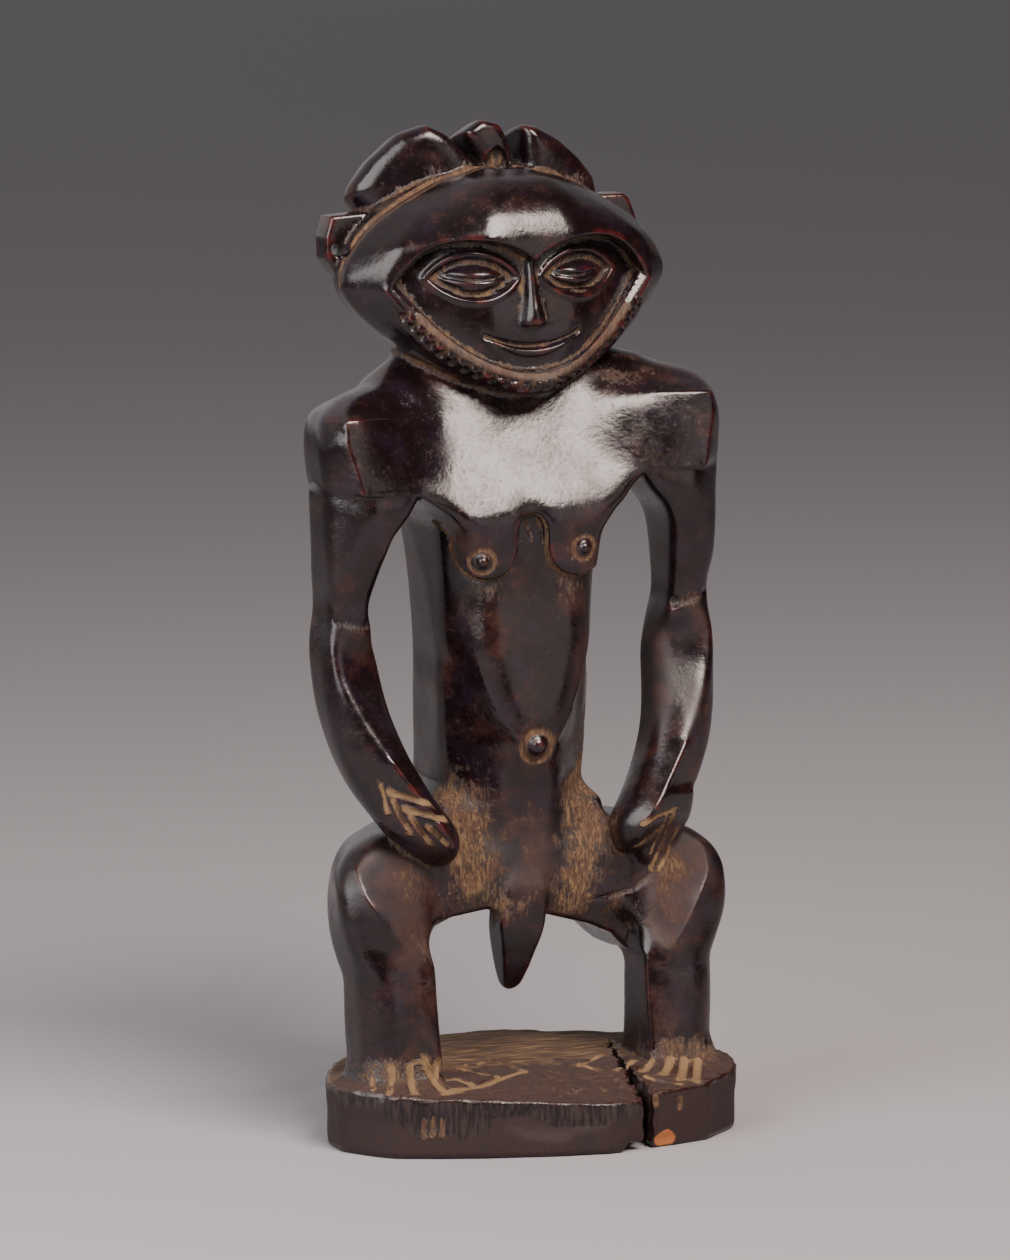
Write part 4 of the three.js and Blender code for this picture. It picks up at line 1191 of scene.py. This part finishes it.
class Nodes:
    """Short ways to make the nodes of one tree."""

    def __init__(self, tree, place):
        self.tree = tree
        self.place = Value(self, self.node("ShaderNodeTexCoord").outputs[place])

    def plug(self, socket, value):
        if isinstance(value, Value):
            self.tree.links.new(value.socket, socket)
        else:
            socket.default_value = value

    def node(self, kind, **inputs):
        node = self.tree.nodes.new(kind)
        for name, value in inputs.items():
            self.plug(node.inputs[name.replace("_", " ")], value)
        return node

    def made(self, output, kind, **inputs):
        return Value(self, self.node(kind, **inputs).outputs[output])

    def mark(self, name):
        node = self.node("ShaderNodeAttribute")
        node.attribute_name = name
        return Value(self, node.outputs["Fac"])

    def noise(self, size, detail, rough, stretch=(1, 1, 1), shift=0, warp=0):
        """Noise about size mm across, longer by stretch along x, y and z."""
        scale = [1 / (size * MM * s) for s in stretch]
        place = self.made("Vector", "ShaderNodeMapping", Vector=self.place, Scale=scale,
                          Location=(shift, 2 * shift, 3 * shift))
        return self.made("Fac", "ShaderNodeTexNoise", Vector=place, Scale=1, Detail=detail, Roughness=rough,
                         Distortion=warp)

    def spread(self, value, low, high, bottom=0.0, top=1.0):
        """Maps low..high smoothly to bottom..top."""
        node = self.node("ShaderNodeMapRange")
        node.interpolation_type = "SMOOTHSTEP"
        sockets = ("Value", "From Min", "From Max", "To Min", "To Max")
        for name, number in zip(sockets, (value, low, high, bottom, top)):
            self.plug(node.inputs[name], number)
        return Value(self, node.outputs["Result"])

    def mix(self, part, a, b):
        """Between two colours or two numbers."""
        node = self.node("ShaderNodeMix")
        colour = isinstance(a, tuple) or isinstance(a, Value) and a.socket.type == "RGBA"
        node.data_type = "RGBA" if colour else "FLOAT"
        first = 6 if colour else 2
        for i, value in zip((0, first, first + 1), (part, a, b)):
            self.plug(node.inputs[i], (*value, 1) if isinstance(value, tuple) else value)
        return Value(self, node.outputs[2 if colour else 0])


BLACK = (0.0062, 0.0030, 0.0036)
DARK_BROWN = (0.024, 0.0084, 0.0068)
WARM_BROWN = (0.047, 0.0178, 0.0105)
SIDE_DARK = (0.015, 0.0052, 0.0043)
# The grey in the worn band on the base's side is painted sheen.
BAND_SHEEN_GREY = (0.030, 0.0195, 0.017)
FRESH_DARK = (0.34, 0.10, 0.03)
# The violet is painted sheen, tinted into the colour.
VIOLET_SHEEN = (0.0105, 0.0052, 0.0110)
OXBLOOD = (0.070, 0.0065, 0.0065)
SOIL = (0.040, 0.0185, 0.0105)
TAN = (0.112, 0.064, 0.030)
PALE_TAN = (0.195, 0.118, 0.054)
RUST = (0.066, 0.026, 0.0125)
SIDE_WOOD = (0.021, 0.0070, 0.0057)
FRESH_WOOD = (0.30, 0.115, 0.032)


def patina():
    material = bpy.data.materials.new("patinated_wood")
    material.use_nodes = True
    nodes = Nodes(material.node_tree, "Object")
    noise, spread, mix, mark = nodes.noise, nodes.spread, nodes.mix, nodes.mark
    broad = noise(22, 5, 0.6, warp=0.4)
    patch = noise(7, 6, 0.62, shift=3.1, warp=0.3)
    fine = noise(1.6, 4, 0.6, shift=7.7)
    fibre = noise(1.1, 5, 0.62, (1, 1, 9), shift=1.3)
    strokes = noise(1.1, 6, 0.68, (1, 1.4, 3.6), shift=5.9, warp=0.9)
    grime = noise(1.9, 8, 0.78, shift=11.3)
    streaks = noise(0.62, 4, 0.62, (16, 1, 3), shift=9.4)
    sheen_lobes = noise(11, 3, 0.5, shift=4.2)
    names = ("brown", "dark", "worn", "side", "top", "rear", "cuts")
    brown, dark, worn, side, top, rear, cuts = map(mark, names)

    # Patina: black to brown in patches, violet lobes of painted sheen, red on worn edges, grime
    # The dark mark darkens the patina and thins the grime; on the upper arm at +X this is painted shade.
    mottled = broad * 0.55 + patch * 0.45 + brown * 0.16 - dark * 0.1
    colour = mix(spread(mottled, 0.47, 0.63), BLACK, DARK_BROWN)
    colour = mix(spread(mottled, 0.55, 0.74) * spread(fine, 0.35, 0.7), colour, WARM_BROWN)
    # Violet lobes: painted sheen.
    colour = mix(spread(sheen_lobes, 0.5, 0.66, 0, 0.7), colour, VIOLET_SHEEN)
    red = spread(worn, 0.2, 0.9) * spread(patch, 0.45, 0.62)
    colour = mix(red * 0.55, colour, OXBLOOD)
    grimy = spread(grime, 0.54, 0.68) * spread(patch, 0.3, 0.62, 0.25, 1) * spread(dark, 0.2, 1, 1, 0.35)
    colour = mix(grimy * 0.55, colour, SOIL)

    # Side of the base, with its worn dark band, whose grey is painted sheen
    wood = mix(spread(fibre, 0.35, 0.68), SIDE_DARK, SIDE_WOOD)
    wood = mix(spread(broad, 0.5, 0.7, 0, 0.75), wood, BLACK)
    smear_and_sheen = spread(mark("smear_and_sheen") + (strokes - 0.5) * 1.2, 0.3, 0.7)
    # In the worn band, black grain with grey painted sheen between.
    wood = mix(smear_and_sheen, wood, mix(spread(fibre, 0.42, 0.6), BLACK, BAND_SHEEN_GREY))
    colour = mix(side * 0.9, colour, wood)

    # Top of the base
    boards = mix(spread(streaks, 0.42, 0.6), SOIL, TAN)
    boards = mix(spread(streaks, 0.54, 0.66) * rear, boards, PALE_TAN)
    cover = spread(rear + (patch - 0.5) * 2.2, 0.3, 0.75)
    boards = mix(cover, mix(spread(fine, 0.4, 0.65), DARK_BROWN, SOIL), boards)
    colour = mix(top, colour, boards)

    # Dust in hollows and cuts, and the fresh chip
    dust = (mark("dust") | mark("hollow") * 0.6) * spread(worn, 0.2, 0.8, 1, 0.25)
    dusted = spread(dust + (strokes * 0.45 + patch * 0.55 - 0.5) * 2.3, 0.34, 0.86)
    dusted = dusted | spread(cuts, 0.1, 0.6) * spread(patch, 0.25, 0.5, 0.75, 1)
    earth = mix(spread(strokes, 0.42, 0.6), mix(spread(patch, 0.4, 0.6), SOIL, RUST), TAN)
    pale = spread(dust, 0.4, 0.8) * spread(strokes, 0.5, 0.66)
    earth = mix(spread(cuts, 0.58, 0.78, 0, 0.9) | pale * 0.8, earth, PALE_TAN)
    colour = mix(dusted * 0.9, colour, earth)
    fresh = spread(mark("fresh") + (patch - 0.5) * 0.8, 0.45, 0.6)
    colour = mix(fresh, colour, mix(spread(fibre, 0.35, 0.65), FRESH_DARK, FRESH_WOOD))

    rough = mix(spread(patch, 0.3, 0.7), 0.13, 0.25) + spread(fine, 0.45, 0.75) * 0.07
    for part, other in (
        (grimy, 0.5), (spread(brown, 0.1, 0.8) * 0.95, 0.8), (side, mix(smear_and_sheen, 0.7, 0.32)), (top, 0.8),
        (spread(worn, 0.1, 0.7) * 0.85, 0.2), (dusted, 0.82), (fresh, 0.75),
    ):
        rough = mix(part, rough, other)
    height = fine * 0.13 + patch * 0.15 + fibre * side * 0.35 + streaks * top * 0.8 + strokes * dusted * 0.9
    normal = nodes.made("Normal", "ShaderNodeBump", Strength=0.6, Distance=0.001, Height=height)

    shader = nodes.tree.nodes["Principled BSDF"]
    shader.inputs["Specular IOR Level"].default_value = 0.5
    for name, value in (("Base Color", colour), ("Roughness", rough), ("Normal", normal)):
        nodes.plug(shader.inputs[name], value)
    return material


carving.data.materials.clear()
carving.data.materials.append(patina())
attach(carving, "root")
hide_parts("ancestor_figure")


# Floor and lights
FLOOR_REACH = 45                        # m from the middle to each side
FLOOR_GREY = (0.305, 0.294, 0.314, 1)


def add_floor():
    mesh = bpy.data.meshes.new("floor")
    corners = [(x * FLOOR_REACH, y * FLOOR_REACH, 0) for x, y in ((-1, -1), (1, -1), (1, 1), (-1, 1))]
    mesh.from_pydata(corners, [], [(0, 1, 2, 3)])

    material = bpy.data.materials.new("floor")
    material.use_nodes = True
    shader = material.node_tree.nodes["Principled BSDF"]
    shader.inputs["Base Color"].default_value = FLOOR_GREY
    shader.inputs["Roughness"].default_value = 0.9
    mesh.materials.append(material)
    floor = new_object("floor", mesh)


LIGHTS = (                              # name, place, aim and size in m, power in W and tint
    ("key", (0.2, -1.25, 1.56), (-0.06, 0, 0.2), (1.3, 0.92), 76, (1, 0.86, 0.78)),
    ("front", (0.62, -1.41, 0.45), (0, 0, 0.18), (1.0, 0.8), 2.1, (1, 0.94, 0.88)),
    ("left", (-0.74, -0.3, 0.52), (-0.22, 0.05, 0.04), (0.75, 0.75), 9, (1, 0.95, 0.95)),
)


def add_light(name, place, aim, size, power, tint):
    data = bpy.data.lights.new(name, "AREA")
    data.shape = "ELLIPSE"
    data.size, data.size_y = size
    data.energy = power
    data.color = tint
    light = new_object(name, data)
    light.location = place
    away = Vector(place) - Vector(aim)
    light.rotation_euler = away.to_track_quat("Z", "Y").to_euler()


def add_world():
    """Soft light from all round, strongest from the left and behind."""
    world = bpy.data.worlds.new("studio")
    world.use_nodes = True
    nodes = Nodes(world.node_tree, "Generated")
    towards = nodes.node("ShaderNodeVectorMath")
    towards.operation = "DOT_PRODUCT"
    nodes.plug(towards.inputs[0], nodes.place)
    towards.inputs[1].default_value = (-0.42, 0.80, 0.42)
    strength = nodes.spread(Value(nodes, towards.outputs["Value"]), 0.1, 1, 0.015, 0.66)
    background = nodes.tree.nodes["Background"]
    background.inputs["Color"].default_value = (1, 0.95, 0.97, 1)
    nodes.plug(background.inputs["Strength"], strength)
    scene.world = world


add_floor()
for light in LIGHTS:
    add_light(*light)
add_world()
